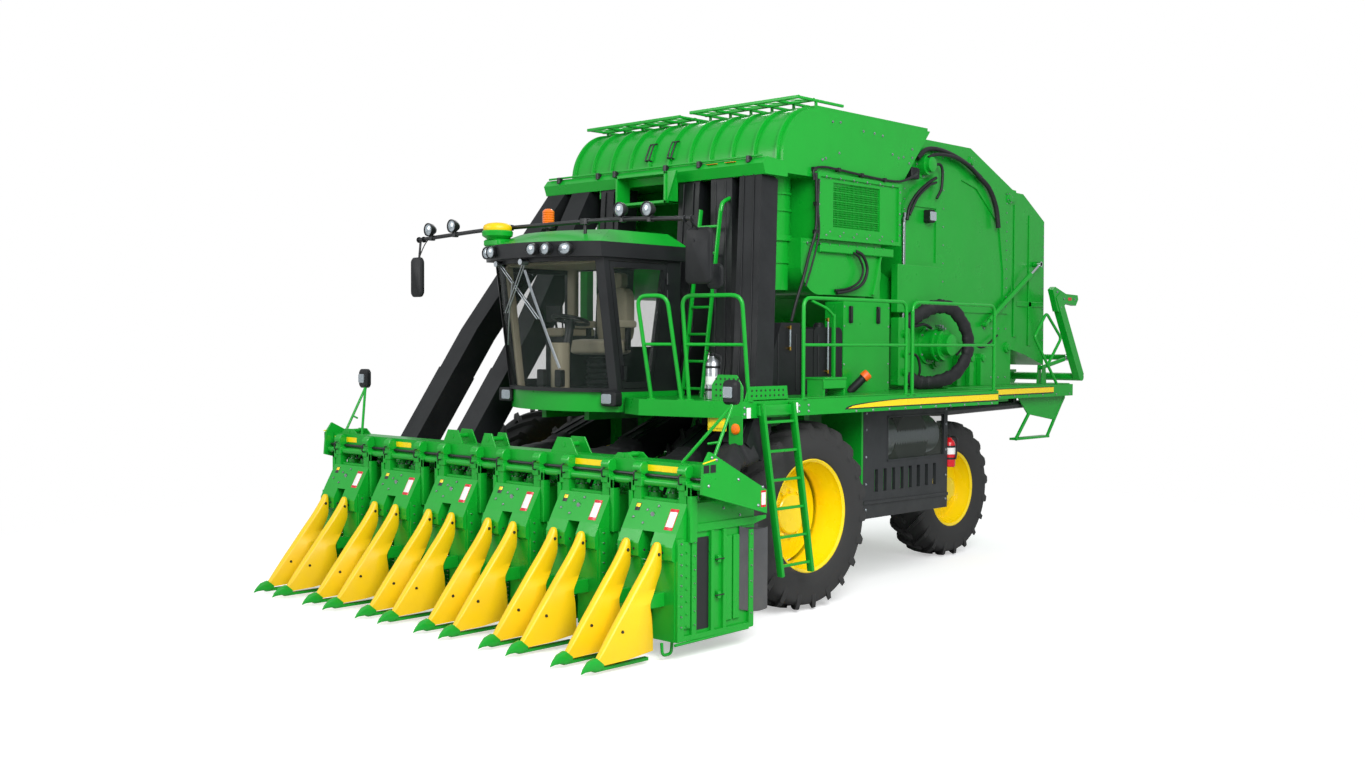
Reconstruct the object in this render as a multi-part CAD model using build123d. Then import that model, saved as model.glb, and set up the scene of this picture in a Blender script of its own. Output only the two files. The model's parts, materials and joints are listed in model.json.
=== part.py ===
"""Self-propelled six-row cotton picker with an on-board round-module chamber.

Millimetres. X points to the machine's left, Y to its rear and Z up. Everything is laid out with
Y = 0 at the front axle and Z = 0 on the ground; export moves it so that Y = 0 is mid-length.
"""
from build123d import *
import math
import os

# ---- Driving sizes -------------------------------------------------------------------------
ROW_COUNT = 6
ROW_PITCH = 965
WHEELBASE = 4170

FRONT_TYRE_RADIUS = 975
FRONT_TYRE_WIDTH = 520
FRONT_RIM_RADIUS = 565
FRONT_INNER_X = 965
FRONT_OUTER_X = 1930
REAR_TYRE_RADIUS = 872
REAR_TYRE_WIDTH = 520
REAR_RIM_RADIUS = 465
REAR_WHEEL_X = 985
KINGPIN_X = 640
RIM_WALL = 16

RAIL_X = 390
RAIL_WIDTH = 120
RAIL_LOW = 1180
RAIL_HIGH = 1460
RAIL_FRONT_Y = -430
REAR_RAIL_LOW = 1800
REAR_RAIL_HIGH = 2000
KICK_UP_Y = 2880
RAIL_REAR_Y = 6900

DECK_TOP = 2190
DECK_PLATE = 40
DECK_RIM = 160
RIM_WALL_THICKNESS = 30
BEARER_HEIGHT = 120
BEARER_DEPTH = 120
WALKWAY_INNER_X = 900
WALKWAY_OUTER_X = 2350
WALKWAY_REAR_Y = 3350
REAR_DECK_X = 1620
REAR_DECK_REAR_Y = 6600

TUBE_R = 20
RAIL_TOP_ABOVE_DECK = 1010
RAIL_MID_ABOVE_DECK = 540

CAB_HALF_WIDTH = 850
CAB_FLOOR_Z = 2240
CAB_BASE_Z = 2040
CAB_TOP_Z = 3600
CAB_REAR_Y = -590
CAB_WALL = 45
GLASS_THICKNESS = 8
SEAL = 0.3
DOOR_GAP = 6

HEADER_HALF_WIDTH = 2950
UNIT_HALF_WIDTH = 335
UNIT_FRONT_Y = -2650
UNIT_REAR_Y = -1600
UNIT_LOW = 170
UNIT_TOP = 1350
PASSAGE_HALF_WIDTH = 75
TIP_Y = -3560
TOOLBAR_Y = -2300
TOOLBAR_SIZE = 220
TOOLBAR_LOW = 1470
LIFT_PIVOT_Y = -300
LIFT_PIVOT_Z = 1320
LIFT_ARM_X = 210
LIFT_ARM_WIDTH = 110
LIFT_SHAFT_R = 40

BIN_HALF_WIDTH = 1650
BIN_WALL = 40
BIN_TOP = 5280
BIN_FLOOR = BIN_TOP - 1400
BIN_FRONT_Z = BIN_TOP - 640
CHAMBER_HALF_WIDTH = 1300
CHAMBER_WALL = 40
CHAMBER_FRONT_Y = 2800
GATE_HINGE_Y = 5500
GATE_FRONT_Y = 5450
GATE_PIN_R = 25
GATE_HINGE_Z = 4750
GATE_HALF_WIDTH = 1245
HANDLER_X = 1480
HANDLER_PIVOT_Y = 7040
HANDLER_PIVOT_Z = 2280
HANDLER_TUBE_R = 55
RUNNING_GAP = 0.3

FRONT_REACH = -TIP_Y + 40
REAR_REACH = HANDLER_PIVOT_Y + 90
FRONT_AXLE_Y = (FRONT_REACH - REAR_REACH) / 2

ROWS_X = [(i - (ROW_COUNT - 1) / 2) * ROW_PITCH for i in range(ROW_COUNT)]
BEARER_TOP = DECK_TOP - DECK_PLATE
BEARER_LOW = BEARER_TOP - BEARER_HEIGHT

TUBE_SIDES = 8
WHEEL_SIDES = 28

SIDE = Plane(origin=(0, 0, 0), x_dir=(0, 1, 0), z_dir=(1, 0, 0))
PLAN = Plane.XY

nodes = {}


# ---- Helpers -------------------------------------------------------------------------------
def block(x, y, z):
    """A box between the low and high values of each axis."""
    centre = [(low + high) / 2 for low, high in (x, y, z)]
    size = [high - low for low, high in (x, y, z)]
    return Pos(*centre) * Box(*size)


def push(face, amount, direction):
    """Extrude a face along a direction, whichever way the face itself points."""
    return extrude(face, amount=amount, dir=direction)


def prism(plane, outline, low, high):
    """A polygon in the plane, pushed from low to high along the plane's normal."""
    return push(plane.offset(low) * Polygon(*outline, align=None), high - low, plane.z_dir)


def side_plate(outline, low, high):
    """A plate whose outline is given in (y, z) and whose thickness runs from low to high in X."""
    return prism(SIDE, outline, low, high)


def plan_plate(outline, low, high):
    """A plate whose outline is given in (x, y) and whose thickness runs from low to high in Z."""
    return prism(PLAN, outline, low, high)


def rod(start, end, radius):
    """A round bar from one point to the other."""
    axis = Vector(*end) - Vector(*start)
    low_end = (Align.CENTER, Align.CENTER, Align.MIN)
    return Plane(origin=start, z_dir=axis) * Cylinder(radius, axis.length, align=low_end)


def round_bar(start, end, radius):
    """A light round bar, drawn with few faces because nothing turns in or on it."""
    axis = Vector(*end) - Vector(*start)
    return push(Plane(origin=start, z_dir=axis) * RegularPolygon(radius, TUBE_SIDES), axis.length, axis)


def many_sided(x, radius):
    """A disc of many flats about the X axis: x is its (low, high), radius runs out to its corners."""
    low, high = x
    return push(SIDE.offset(low) * RegularPolygon(radius, WHEEL_SIDES), high - low, SIDE.z_dir)


def pipe(start, end, radius, bore):
    """A round tube from one point to the other, open at both ends."""
    return rod(start, end, radius) - rod(start, end, bore)


def bar(start, end, width, depth):
    """A rectangular bar between two points: width across X, depth square to it."""
    axis = Vector(*end) - Vector(*start)
    low_end = (Align.CENTER, Align.CENTER, Align.MIN)
    across = Vector(1, 0, 0) - axis * (axis.X / axis.dot(axis))
    return Plane(origin=start, x_dir=across, z_dir=axis) * Box(width, depth, axis.length, align=low_end)


def tube_run(points, radius, bend):
    """A round tube along straight runs joined by bends."""
    path = FilletPolyline(*points, radius=bend)
    return sweep(Plane(origin=path @ 0, z_dir=path % 0) * RegularPolygon(radius, TUBE_SIDES), path=path)


def x_disc(x, centre, radius):
    """A disc square to X: x is its (low, high), centre its (y, z)."""
    return rod((x[0], *centre), (x[1], *centre), radius)


def both_sides(*shapes):
    """The given left-hand shapes and their right-hand mirror images."""
    return [*shapes, *[mirror(shape, Plane.YZ) for shape in shapes]]


def node(name, *shapes):
    """Collect separate solids under one node name."""
    solids = []
    for shape in shapes:
        solids += shape.solids()
    nodes[name] = solids


# ---- Wheels --------------------------------------------------------------------------------
LUG_HEIGHT = 45
FRONT_LUGS = 15
REAR_LUGS = 14


def tyre(radius, width, rim_radius, lugs):
    """A tyre about the X axis, with swept lugs in two alternating rows that lead into its middle."""
    half = width / 2
    carcass = many_sided((-half, half), radius - LUG_HEIGHT)
    carcass = chamfer(carcass.edges().filter_by(lambda e: abs(e.center().X) > half - 1), 30, 110)
    carcass -= many_sided((-half - 1, half + 1), rim_radius)
    lug = plan_plate([(10, 62), (10, 118), (half * 0.97, -58), (half * 0.97, -118)], radius - 150, radius)
    bars = []
    for i in range(lugs):
        for side, start in ((lug, i), (mirror(lug, Plane.YZ), i + 0.5)):
            bars.append(Rot(start * 360 / lugs, 0, 0) * side)
    return carcass.fuse(*bars)


def rim(x, width, rim_radius, dish_x, hub_radius, hub_reach, centre):
    """A rim barrel with its dished disc; dish_x is the disc's inner face."""
    half = width / 2 * 0.80
    inner = rim_radius - RIM_WALL
    barrel = many_sided((x - half, x + half), rim_radius) - many_sided((x - half - 1, x + half + 1), inner)
    for low, high, radius in ((dish_x, dish_x + 30, inner + 2), (dish_x + 30, dish_x + 60, hub_radius + 90),
                              (dish_x + 60, dish_x + hub_reach, hub_radius)):
        barrel += many_sided((low, high), radius)
    return Pos(0, *centre) * barrel


FRONT_AXLE = (0, FRONT_TYRE_RADIUS)
REAR_AXLE = (WHEELBASE, REAR_TYRE_RADIUS)
HUB_FACE_X = 700
DUAL_DISH_X = FRONT_INNER_X + 60
OUTER_DISH_X = FRONT_OUTER_X - 90

front_tyre = tyre(FRONT_TYRE_RADIUS, FRONT_TYRE_WIDTH, FRONT_RIM_RADIUS, FRONT_LUGS)
front_tyres = [Pos(x, *FRONT_AXLE) * front_tyre for x in (FRONT_INNER_X, FRONT_OUTER_X)]
inner_rim = rim(FRONT_INNER_X, FRONT_TYRE_WIDTH, FRONT_RIM_RADIUS, DUAL_DISH_X, 210, 90, FRONT_AXLE)
outer_rim = rim(FRONT_OUTER_X, FRONT_TYRE_WIDTH, FRONT_RIM_RADIUS, OUTER_DISH_X, 210, 110, FRONT_AXLE)
drive_stub = x_disc((HUB_FACE_X, DUAL_DISH_X + 5), FRONT_AXLE, 190)
dual_spacer = x_disc((DUAL_DISH_X + 80, OUTER_DISH_X + 10), FRONT_AXLE, 230)
front_rims = inner_rim + outer_rim + drive_stub + dual_spacer

rear_tyre = tyre(REAR_TYRE_RADIUS, REAR_TYRE_WIDTH, REAR_RIM_RADIUS, REAR_LUGS)
rear_tyre = Pos(REAR_WHEEL_X, *REAR_AXLE) * rear_tyre
REAR_DISH_X = REAR_WHEEL_X + 20
rear_rim = rim(REAR_WHEEL_X, REAR_TYRE_WIDTH, REAR_RIM_RADIUS, REAR_DISH_X, 150, 150, REAR_AXLE)
SPINDLE_R = 55
rear_rim -= x_disc((REAR_DISH_X - 1, REAR_DISH_X + 100), REAR_AXLE, SPINDLE_R + RUNNING_GAP)

for side_name, flip in (("left", False), ("right", True)):
    place = (lambda s: mirror(s, Plane.YZ)) if flip else (lambda s: s)
    node(f"front_tyres_{side_name}", *[place(t) for t in front_tyres])
    node(f"front_rims_{side_name}", place(front_rims))
    node(f"rear_tyre_{side_name}", place(rear_tyre))
    node(f"rear_rim_{side_name}", place(rear_rim))


# ---- Axles and frame -----------------------------------------------------------------------
AXLE_CASE_R = 115
final_drive = x_disc((HUB_FACE_X - 170, HUB_FACE_X - RUNNING_GAP), FRONT_AXLE, 230)
axle_case = x_disc((0, HUB_FACE_X - 170), FRONT_AXLE, AXLE_CASE_R)
saddle = block((RAIL_X - 55, RAIL_X + 55), (-110, 110), (FRONT_TYRE_RADIUS, RAIL_LOW))
drive_case = block((-190, 190), (-220, 260), (FRONT_TYRE_RADIUS - 230, FRONT_TYRE_RADIUS + 200))
half_axle = axle_case + final_drive + saddle
front_axle = half_axle + mirror(half_axle, Plane.YZ) + drive_case
node("front_axle", front_axle)

PIVOT_PIN_R = 45
beam = block((-KINGPIN_X - 60, KINGPIN_X + 60), (WHEELBASE - 75, WHEELBASE + 75),
             (REAR_TYRE_RADIUS - 85, REAR_TYRE_RADIUS + 85))
beam -= block((KINGPIN_X - 95, KINGPIN_X + 75), (WHEELBASE - 80, WHEELBASE + 80),
              (REAR_TYRE_RADIUS - 50, REAR_TYRE_RADIUS + 50))
beam -= block((-KINGPIN_X - 75, -KINGPIN_X + 95), (WHEELBASE - 80, WHEELBASE + 80),
              (REAR_TYRE_RADIUS - 50, REAR_TYRE_RADIUS + 50))
trunnion = rod((0, WHEELBASE - 210, REAR_TYRE_RADIUS + 40), (0, WHEELBASE + 210, REAR_TYRE_RADIUS + 40),
               PIVOT_PIN_R)
node("rear_axle", beam + trunnion)

hanger_plate = side_plate([(0, REAR_TYRE_RADIUS - 60), (60, REAR_TYRE_RADIUS - 60), (60, REAR_RAIL_LOW),
                           (0, REAR_RAIL_LOW)], -230, 230)
hanger_plate = Pos(0, WHEELBASE + 120, 0) * hanger_plate
hanger_front = Pos(0, -300, 0) * hanger_plate
hanger_tie = block((-230, 230), (WHEELBASE - 180, WHEELBASE + 180), (REAR_RAIL_LOW - 60, REAR_RAIL_LOW))
hanger = hanger_plate + hanger_front + hanger_tie
hanger -= rod((0, WHEELBASE - 400, REAR_TYRE_RADIUS + 40), (0, WHEELBASE + 400, REAR_TYRE_RADIUS + 40),
              PIVOT_PIN_R + RUNNING_GAP)

for side_name, flip in (("left", False), ("right", True)):
    place = (lambda s: mirror(s, Plane.YZ)) if flip else (lambda s: s)
    knuckle = rod((KINGPIN_X, WHEELBASE, REAR_TYRE_RADIUS - 49.7),
                  (KINGPIN_X, WHEELBASE, REAR_TYRE_RADIUS + 49.7), 62)
    knuckle += block((KINGPIN_X, KINGPIN_X + 85), (WHEELBASE - 62, WHEELBASE + 62),
                     (REAR_TYRE_RADIUS - 48, REAR_TYRE_RADIUS + 48))
    knuckle += x_disc((KINGPIN_X + 84, REAR_DISH_X + 99), REAR_AXLE, SPINDLE_R)
    knuckle += block((KINGPIN_X - 25, KINGPIN_X + 25), (WHEELBASE, WHEELBASE + 260),
                     (REAR_TYRE_RADIUS - 30, REAR_TYRE_RADIUS + 20))
    node(f"knuckle_{side_name}", place(knuckle))

rail = block((RAIL_X - RAIL_WIDTH / 2, RAIL_X + RAIL_WIDTH / 2), (RAIL_FRONT_Y, KICK_UP_Y + 180),
             (RAIL_LOW, RAIL_HIGH))
rail += block((RAIL_X - RAIL_WIDTH / 2, RAIL_X + RAIL_WIDTH / 2), (KICK_UP_Y, KICK_UP_Y + 180),
              (RAIL_LOW, REAR_RAIL_HIGH))
rail += block((RAIL_X - RAIL_WIDTH / 2, RAIL_X + RAIL_WIDTH / 2), (KICK_UP_Y, RAIL_REAR_Y),
              (REAR_RAIL_LOW, REAR_RAIL_HIGH))

RAIL_INNER = RAIL_X - RAIL_WIDTH / 2
crossmembers = []
for y, low, high in ((-395, RAIL_LOW, RAIL_LOW + 50), (-150, RAIL_LOW + 40, RAIL_HIGH),
                     (900, RAIL_LOW + 40, RAIL_HIGH - 40),
                     (2800, RAIL_LOW + 40, RAIL_HIGH - 40), (WHEELBASE - 190, REAR_RAIL_LOW, REAR_RAIL_HIGH),
                     (WHEELBASE + 190, REAR_RAIL_LOW, REAR_RAIL_HIGH),
                     (6800, REAR_RAIL_LOW, REAR_RAIL_HIGH)):
    crossmembers.append(block((-RAIL_INNER, RAIL_INNER), (y - 35, y + 35), (low, high)))
lift_shaft = x_disc((-RAIL_INNER, RAIL_INNER), (LIFT_PIVOT_Y, LIFT_PIVOT_Z), LIFT_SHAFT_R)
frame = rail + mirror(rail, Plane.YZ) + lift_shaft
for crossmember in crossmembers:
    frame += crossmember
node("chassis_frame", frame)

engine = block((-RAIL_INNER + 10, RAIL_INNER - 10), (1150, 2600), (1020, 2000))
engine += block((-RAIL_INNER, RAIL_INNER), (1300, 1400), (RAIL_HIGH - 100, RAIL_HIGH - 20))
node("engine_block", engine)

# Cab mounts: a pedestal on each rail and a beam forward under the cab floor.
cab_mount = block((RAIL_X - 90, RAIL_X - 20), (RAIL_FRONT_Y, RAIL_FRONT_Y + 100), (RAIL_HIGH, CAB_BASE_Z))
cab_mount += block((RAIL_X - 90, RAIL_X - 20), (-1450, RAIL_FRONT_Y), (CAB_BASE_Z - 100, CAB_BASE_Z))

# Transverse bearers carry the decks; (y, reaches to the left walkway, stands on the low rails).
BEARERS = [(120, True, True), (1000, True, True), (2100, True, True), (3240, True, False),
           (WHEELBASE, False, False), (5300, False, False), (6500, False, False)]
bearers = []
for y, to_walkway, low_rail in BEARERS:
    left = WALKWAY_OUTER_X - RIM_WALL_THICKNESS if to_walkway else REAR_DECK_X - RIM_WALL_THICKNESS
    bearer = block((-REAR_DECK_X + RIM_WALL_THICKNESS, left), (y - BEARER_DEPTH / 2, y + BEARER_DEPTH / 2),
                   (BEARER_LOW, BEARER_TOP))
    foot = RAIL_HIGH if low_rail else REAR_RAIL_HIGH
    for x in (-RAIL_X, RAIL_X):
        bearer += block((x - 50, x + 50), (y - 50, y + 50), (foot, BEARER_LOW))
    bearers.append(bearer)
node("deck_bearers", *bearers)

# ---- Decks ---------------------------------------------------------------------------------
WALKWAY_OUTLINE = [(WALKWAY_INNER_X, -1450), (1250, -1600), (WALKWAY_OUTER_X, -1310),
                   (WALKWAY_OUTER_X, WALKWAY_REAR_Y), (WALKWAY_INNER_X, WALKWAY_REAR_Y)]
walkway = plan_plate(WALKWAY_OUTLINE, BEARER_TOP, DECK_TOP)
rim_outer = plan_plate(WALKWAY_OUTLINE, DECK_TOP - DECK_RIM, DECK_TOP)
RIM_INNER_OUTLINE = [(WALKWAY_INNER_X - 1, -1425), (1250, -1565),
                     (WALKWAY_OUTER_X - RIM_WALL_THICKNESS, -1285),
                     (WALKWAY_OUTER_X - RIM_WALL_THICKNESS, WALKWAY_REAR_Y + 1),
                     (WALKWAY_INNER_X - 1, WALKWAY_REAR_Y + 1)]
walkway += rim_outer - plan_plate(RIM_INNER_OUTLINE, DECK_TOP - DECK_RIM - 1, DECK_TOP + 1)

rear_deck = block((-REAR_DECK_X, REAR_DECK_X), (WALKWAY_REAR_Y, REAR_DECK_REAR_Y), (BEARER_TOP, DECK_TOP))
for x in (-REAR_DECK_X, REAR_DECK_X - RIM_WALL_THICKNESS):
    rear_deck += block((x, x + RIM_WALL_THICKNESS), (WALKWAY_REAR_Y, REAR_DECK_REAR_Y),
                       (DECK_TOP - DECK_RIM, DECK_TOP))

# ---- Air ducts: centre points from the bin's front down to the mouth, per row ---------------
DUCT_WIDTH = 300
DUCT_DEPTH = 290
DUCT_TOP_X = (620, 1080, 1480)
DUCT_TOP = (-60, BIN_TOP - 760)


def duct(stations, width, depth):
    """A rectangular duct lofted through its stations: (x, y, z, tilt of the section in degrees)."""
    sections = []
    for x, y, z, tilt in stations:
        cut = Plane(origin=(x, y, z), x_dir=(1, 0, 0),
                    z_dir=(0, math.sin(math.radians(tilt)), math.cos(math.radians(tilt))))
        sections.append(cut * Rectangle(width, depth))
    piece = loft([sections[0], sections[1]], ruled=True)
    for low, high in zip(sections[1:-1], sections[2:]):
        piece += loft([low, high], ruled=True)
    return piece


UNIT_OUTER, UNIT_MIDDLE, UNIT_INNER = ROW_PITCH * 2.5, ROW_PITCH * 1.5, ROW_PITCH * 0.5
LEFT_DUCTS = [
    [(UNIT_INNER + 50, -1000, 1600, 70), (UNIT_INNER + 50, -370, 1850, 45), (DUCT_TOP_X[0], -170, 2700, 5),
     (DUCT_TOP_X[0], DUCT_TOP[0], DUCT_TOP[1], 10)],
    [(UNIT_MIDDLE, -1080, 1560, 70), (UNIT_MIDDLE, -640, 1800, 45), (1420, -450, 2500, 10),
     (DUCT_TOP_X[1], DUCT_TOP[0], DUCT_TOP[1], 10)],
    [(2180, -1120, 1700, 40), (2150, -960, 1950, 25), (1980, -720, 2600, 25),
     (DUCT_TOP_X[2], DUCT_TOP[0], DUCT_TOP[1], 25)],
]
SLEEVE_RISE = (0.196, 0.450, 0.871)
SLEEVE_LOW_Z = 1550
SLEEVE_TOP_Z = 2380
CORE_LOW_Z = 2150
KNEE_Z = 2830
SLEEVE_WALL = 8
SLEEVE_CLEARANCE = 0.3


def on_slope(x, z):
    """The point at height z on the line that rises from the unit outlet at x along the sleeve's slide."""
    rise = (z - 1550) / SLEEVE_RISE[2]
    return (x + SLEEVE_RISE[0] * rise, -1600 + SLEEVE_RISE[1] * rise, z)


SLOPE_TILT = math.degrees(math.atan2(SLEEVE_RISE[1], SLEEVE_RISE[2]))
ducts = [duct(stations, DUCT_WIDTH, DUCT_DEPTH) for stations in LEFT_DUCTS]
ducts.append(mirror(ducts[0], Plane.YZ))
sleeves = []
for unit_x, top_x in ((-UNIT_OUTER, -DUCT_TOP_X[2]), (-UNIT_MIDDLE, -DUCT_TOP_X[1])):
    core_low, knee = on_slope(unit_x, CORE_LOW_Z), on_slope(unit_x, KNEE_Z)
    ducts.append(duct([(*core_low, SLOPE_TILT), (*knee, SLOPE_TILT), (top_x, *DUCT_TOP, SLOPE_TILT)],
                      DUCT_WIDTH, DUCT_DEPTH))
    low, high = on_slope(unit_x, SLEEVE_LOW_Z), on_slope(unit_x, SLEEVE_TOP_Z)
    inner = 2 * SLEEVE_CLEARANCE
    outer = inner + 2 * SLEEVE_WALL
    past_low, past_high = on_slope(unit_x, SLEEVE_LOW_Z - 5), on_slope(unit_x, SLEEVE_TOP_Z + 5)
    sleeve = duct([(*low, SLOPE_TILT), (*high, SLOPE_TILT)], DUCT_WIDTH + outer, DUCT_DEPTH + outer)
    sleeve -= duct([(*past_low, SLOPE_TILT), (*past_high, SLOPE_TILT)], DUCT_WIDTH + inner,
                   DUCT_DEPTH + inner)
    sleeves.append(sleeve)
node("duct_sleeves", *sleeves)

DUCT_HOLE_MARGIN = 8
for stations in LEFT_DUCTS[1:]:
    walkway -= duct(stations, DUCT_WIDTH + 2 * DUCT_HOLE_MARGIN, DUCT_DEPTH + 2 * DUCT_HOLE_MARGIN)
decks = walkway + rear_deck
node("decks", decks)

# ---- Hand rails and ladders ----------------------------------------------------------------
RAIL_TOP = DECK_TOP + RAIL_TOP_ABOVE_DECK
RAIL_MID = DECK_TOP + RAIL_MID_ABOVE_DECK
SIDE_RAIL_X = WALKWAY_OUTER_X - TUBE_R - 5
SIDE_RAIL_Y = (-360, 3280)
SIDE_RAIL_SPLIT = 1500


def rail_panel(start, end, lean=(0, 0)):
    """A hooped rail between two feet on the deck with a mid rail; lean moves its top in (x, y)."""
    (x0, y0), (x1, y1) = start, end
    (dx, dy) = lean
    hoop = tube_run([(x0, y0, DECK_TOP), (x0 + dx, y0 + dy, RAIL_TOP), (x1 + dx, y1 + dy, RAIL_TOP),
                     (x1, y1, DECK_TOP)], TUBE_R, 110)
    share = RAIL_MID_ABOVE_DECK / RAIL_TOP_ABOVE_DECK
    mid = round_bar((x0 + dx * share, y0 + dy * share, RAIL_MID),
                    (x1 + dx * share, y1 + dy * share, RAIL_MID), TUBE_R * 0.8)
    return hoop + mid


rails = [
    rail_panel((SIDE_RAIL_X, SIDE_RAIL_Y[0]), (SIDE_RAIL_X, SIDE_RAIL_SPLIT - 60)),
    rail_panel((SIDE_RAIL_X, SIDE_RAIL_SPLIT + 60), (SIDE_RAIL_X, SIDE_RAIL_Y[1])),
    rail_panel((1330, -1500), (1640, -1400), (0, -210)),
    rail_panel((1720, -1375), (SIDE_RAIL_X, -1190), (0, -110)),
    tube_run([(REAR_DECK_X - 30, 6240, DECK_TOP - 60), (REAR_DECK_X - 30, 5560, 2840),
              (REAR_DECK_X - 30, 5880, 3170),
              (REAR_DECK_X - 30, 6300, 2830), (REAR_DECK_X - 30, 6080, 2610)], TUBE_R, 60)
    + round_bar((REAR_DECK_X - 30, 6085, 2615), (REAR_DECK_X - 30, 5945, 2475), TUBE_R),
]
below_deck = block((0, 3000), (-3000, 8000), (DECK_TOP - 300, DECK_TOP))
rails = [piece - below_deck for piece in rails]


def ladder(foot, head, half_width, rungs, stringer):
    """Two stringers and round rungs; foot and head are the centre points of the lower and upper ends."""
    (xf, yf, zf), (xh, yh, zh) = foot, head
    (wx, wy) = half_width
    piece = bar((xf - wx, yf - wy, zf), (xh - wx, yh - wy, zh), *stringer)
    piece += bar((xf + wx, yf + wy, zf), (xh + wx, yh + wy, zh), *stringer)
    for index in range(rungs):
        share = (index + 0.35) / rungs
        x, y, z = xf + (xh - xf) * share, yf + (yh - yf) * share, zf + (zh - zf) * share
        piece += round_bar((x - wx, y - wy, z), (x + wx, y + wy, z), 16)
    return piece


boarding = ladder((WALKWAY_OUTER_X + 40, -530, 470), (WALKWAY_OUTER_X + 40, -850, DECK_TOP - 20),
                  (0, 235), 6, (70, 40))
boarding += block((WALKWAY_OUTER_X, WALKWAY_OUTER_X + 40), (-1105, -595), (DECK_TOP - 140, DECK_TOP - 40))
upper = ladder((1090, -660, DECK_TOP - 20), (1090, -380, 4150), (140, 0), 7, (24, 45)) - below_deck
STEP_X = 1500
rear_steps = block((STEP_X - 90, STEP_X + 30), (5240, 6130), (1460, 1490))
rear_steps += bar((STEP_X, 5255, 1470), (STEP_X, 5600, 1810), 30, 45)
rear_steps += bar((STEP_X, 6100, 1470), (STEP_X, 6560, 2010), 30, 45)
rear_steps += side_plate([(5560, 1800), (5300, BEARER_LOW), (6590, BEARER_LOW), (6590, 1990), (6400, 1790),
                          (6250, 1700)], STEP_X - 10, STEP_X + 10)


# ---- Cab -----------------------------------------------------------------------------------
def cab_outline(half, front_corner, front_middle, rear):
    """The cab's plan: square at the rear and bowed at the front."""
    edges = Polyline((-half, front_corner), (-half, rear), (half, rear), (half, front_corner))
    edges += ThreePointArc((half, front_corner), (0, front_middle), (-half, front_corner))
    return make_face(edges)


def cab_solid(inset, low, high):
    """The cab's bowed, forward-leaning body, moved in from its outer face by inset."""
    def plan(z):
        lean = (z - CAB_FLOOR_Z) * 0.15
        return Plane.XY.offset(z) * cab_outline(CAB_HALF_WIDTH - inset, -1500 - lean + inset,
                                                -1800 - lean + inset, CAB_REAR_Y - inset)
    return loft([plan(low), plan(high)], ruled=True)


base = Plane.XY.offset(CAB_BASE_Z) * cab_outline(CAB_HALF_WIDTH, -1470, -1760, CAB_REAR_Y)
node("cab_base", push(base, CAB_FLOOR_Z - CAB_BASE_Z, PLAN.z_dir))

cab_shell = cab_solid(0, CAB_FLOOR_Z, CAB_TOP_Z) - cab_solid(CAB_WALL, CAB_FLOOR_Z - 1, CAB_TOP_Z + 1)
glass_shell = (cab_solid(12, CAB_FLOOR_Z, CAB_TOP_Z)
               - cab_solid(12 + GLASS_THICKNESS, CAB_FLOOR_Z - 1, CAB_TOP_Z + 1))
PILLAR = 70
DOOR_LOW = CAB_FLOOR_Z + 40
DOOR_HIGH = CAB_TOP_Z - 40
DOOR_OUTLINE = [(-1430, DOOR_LOW), (-1010, DOOR_LOW), (-790, DOOR_HIGH), (-1625, DOOR_HIGH)]
DOOR_WINDOW = [(-1385, DOOR_LOW + 60), (-1050, DOOR_LOW + 60), (-850, DOOR_HIGH - 60),
               (-1565, DOOR_HIGH - 60)]
SIDE_WINDOW = [(-1385, DOOR_LOW + 60), (-700, DOOR_LOW + 60), (-700, DOOR_HIGH - 60),
               (-1565, DOOR_HIGH - 60)]
WINDSHIELD_WINDOW = block((-CAB_HALF_WIDTH + PILLAR, CAB_HALF_WIDTH - PILLAR), (-2400, -1400),
                          (DOOR_LOW, DOOR_HIGH))
REAR_WINDOW = block((-CAB_HALF_WIDTH + 110, CAB_HALF_WIDTH - 110), (CAB_REAR_Y - 200, CAB_REAR_Y + 10),
                    (2700, DOOR_HIGH - 20))
door_hole = side_plate([(y + (-DOOR_GAP if y < -1200 else DOOR_GAP), z + (DOOR_GAP if z > 3000 else -DOOR_GAP))
                        for y, z in DOOR_OUTLINE], 700, 900)
door_cut = side_plate(DOOR_OUTLINE, 700, 900)
door_window = side_plate(DOOR_WINDOW, 700, 900)
side_window = side_plate(SIDE_WINDOW, -900, -700)

cab_frame = cab_shell - WINDSHIELD_WINDOW - REAR_WINDOW - door_hole - side_window
node("cab_glass", glass_shell & WINDSHIELD_WINDOW, glass_shell & REAR_WINDOW, glass_shell & side_window)
door_panel = block((CAB_HALF_WIDTH - CAB_WALL, CAB_HALF_WIDTH), (-2000, -600), (CAB_FLOOR_Z, CAB_TOP_Z))
door_frame = (door_panel & door_cut) - door_window
handle = block((CAB_HALF_WIDTH, CAB_HALF_WIDTH + 30), (-1440, -1405), (DOOR_LOW + 90, DOOR_LOW + 230))
handle &= block((0, 2000), (-1500, -1398), (0, 5000))
DOOR_HINGE = (CAB_HALF_WIDTH + 14, -800)
HINGE_R = 13
for z in (DOOR_HIGH - 150, DOOR_HIGH - 330):
    x, y = DOOR_HINGE
    door_frame += rod((x, y, z), (x, y, z + 60), HINGE_R)
    door_frame += block((CAB_HALF_WIDTH, x), (y - 60, y), (z, z + 60))
    cab_frame += rod((x, y, z - 60), (x, y, z - RUNNING_GAP), HINGE_R)
    cab_frame += block((CAB_HALF_WIDTH + RUNNING_GAP, x), (y, y + 45), (z - 60, z - RUNNING_GAP))
    cab_frame += block((CAB_HALF_WIDTH - 2, x), (-780, y + 45), (z - 60, z - RUNNING_GAP))
node("door_frame", door_frame + handle)
door_pane = block((CAB_HALF_WIDTH - 12 - GLASS_THICKNESS, CAB_HALF_WIDTH - 12), (-2000, -600), (0, 5000))
node("door_glass", door_pane & door_window)

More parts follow.
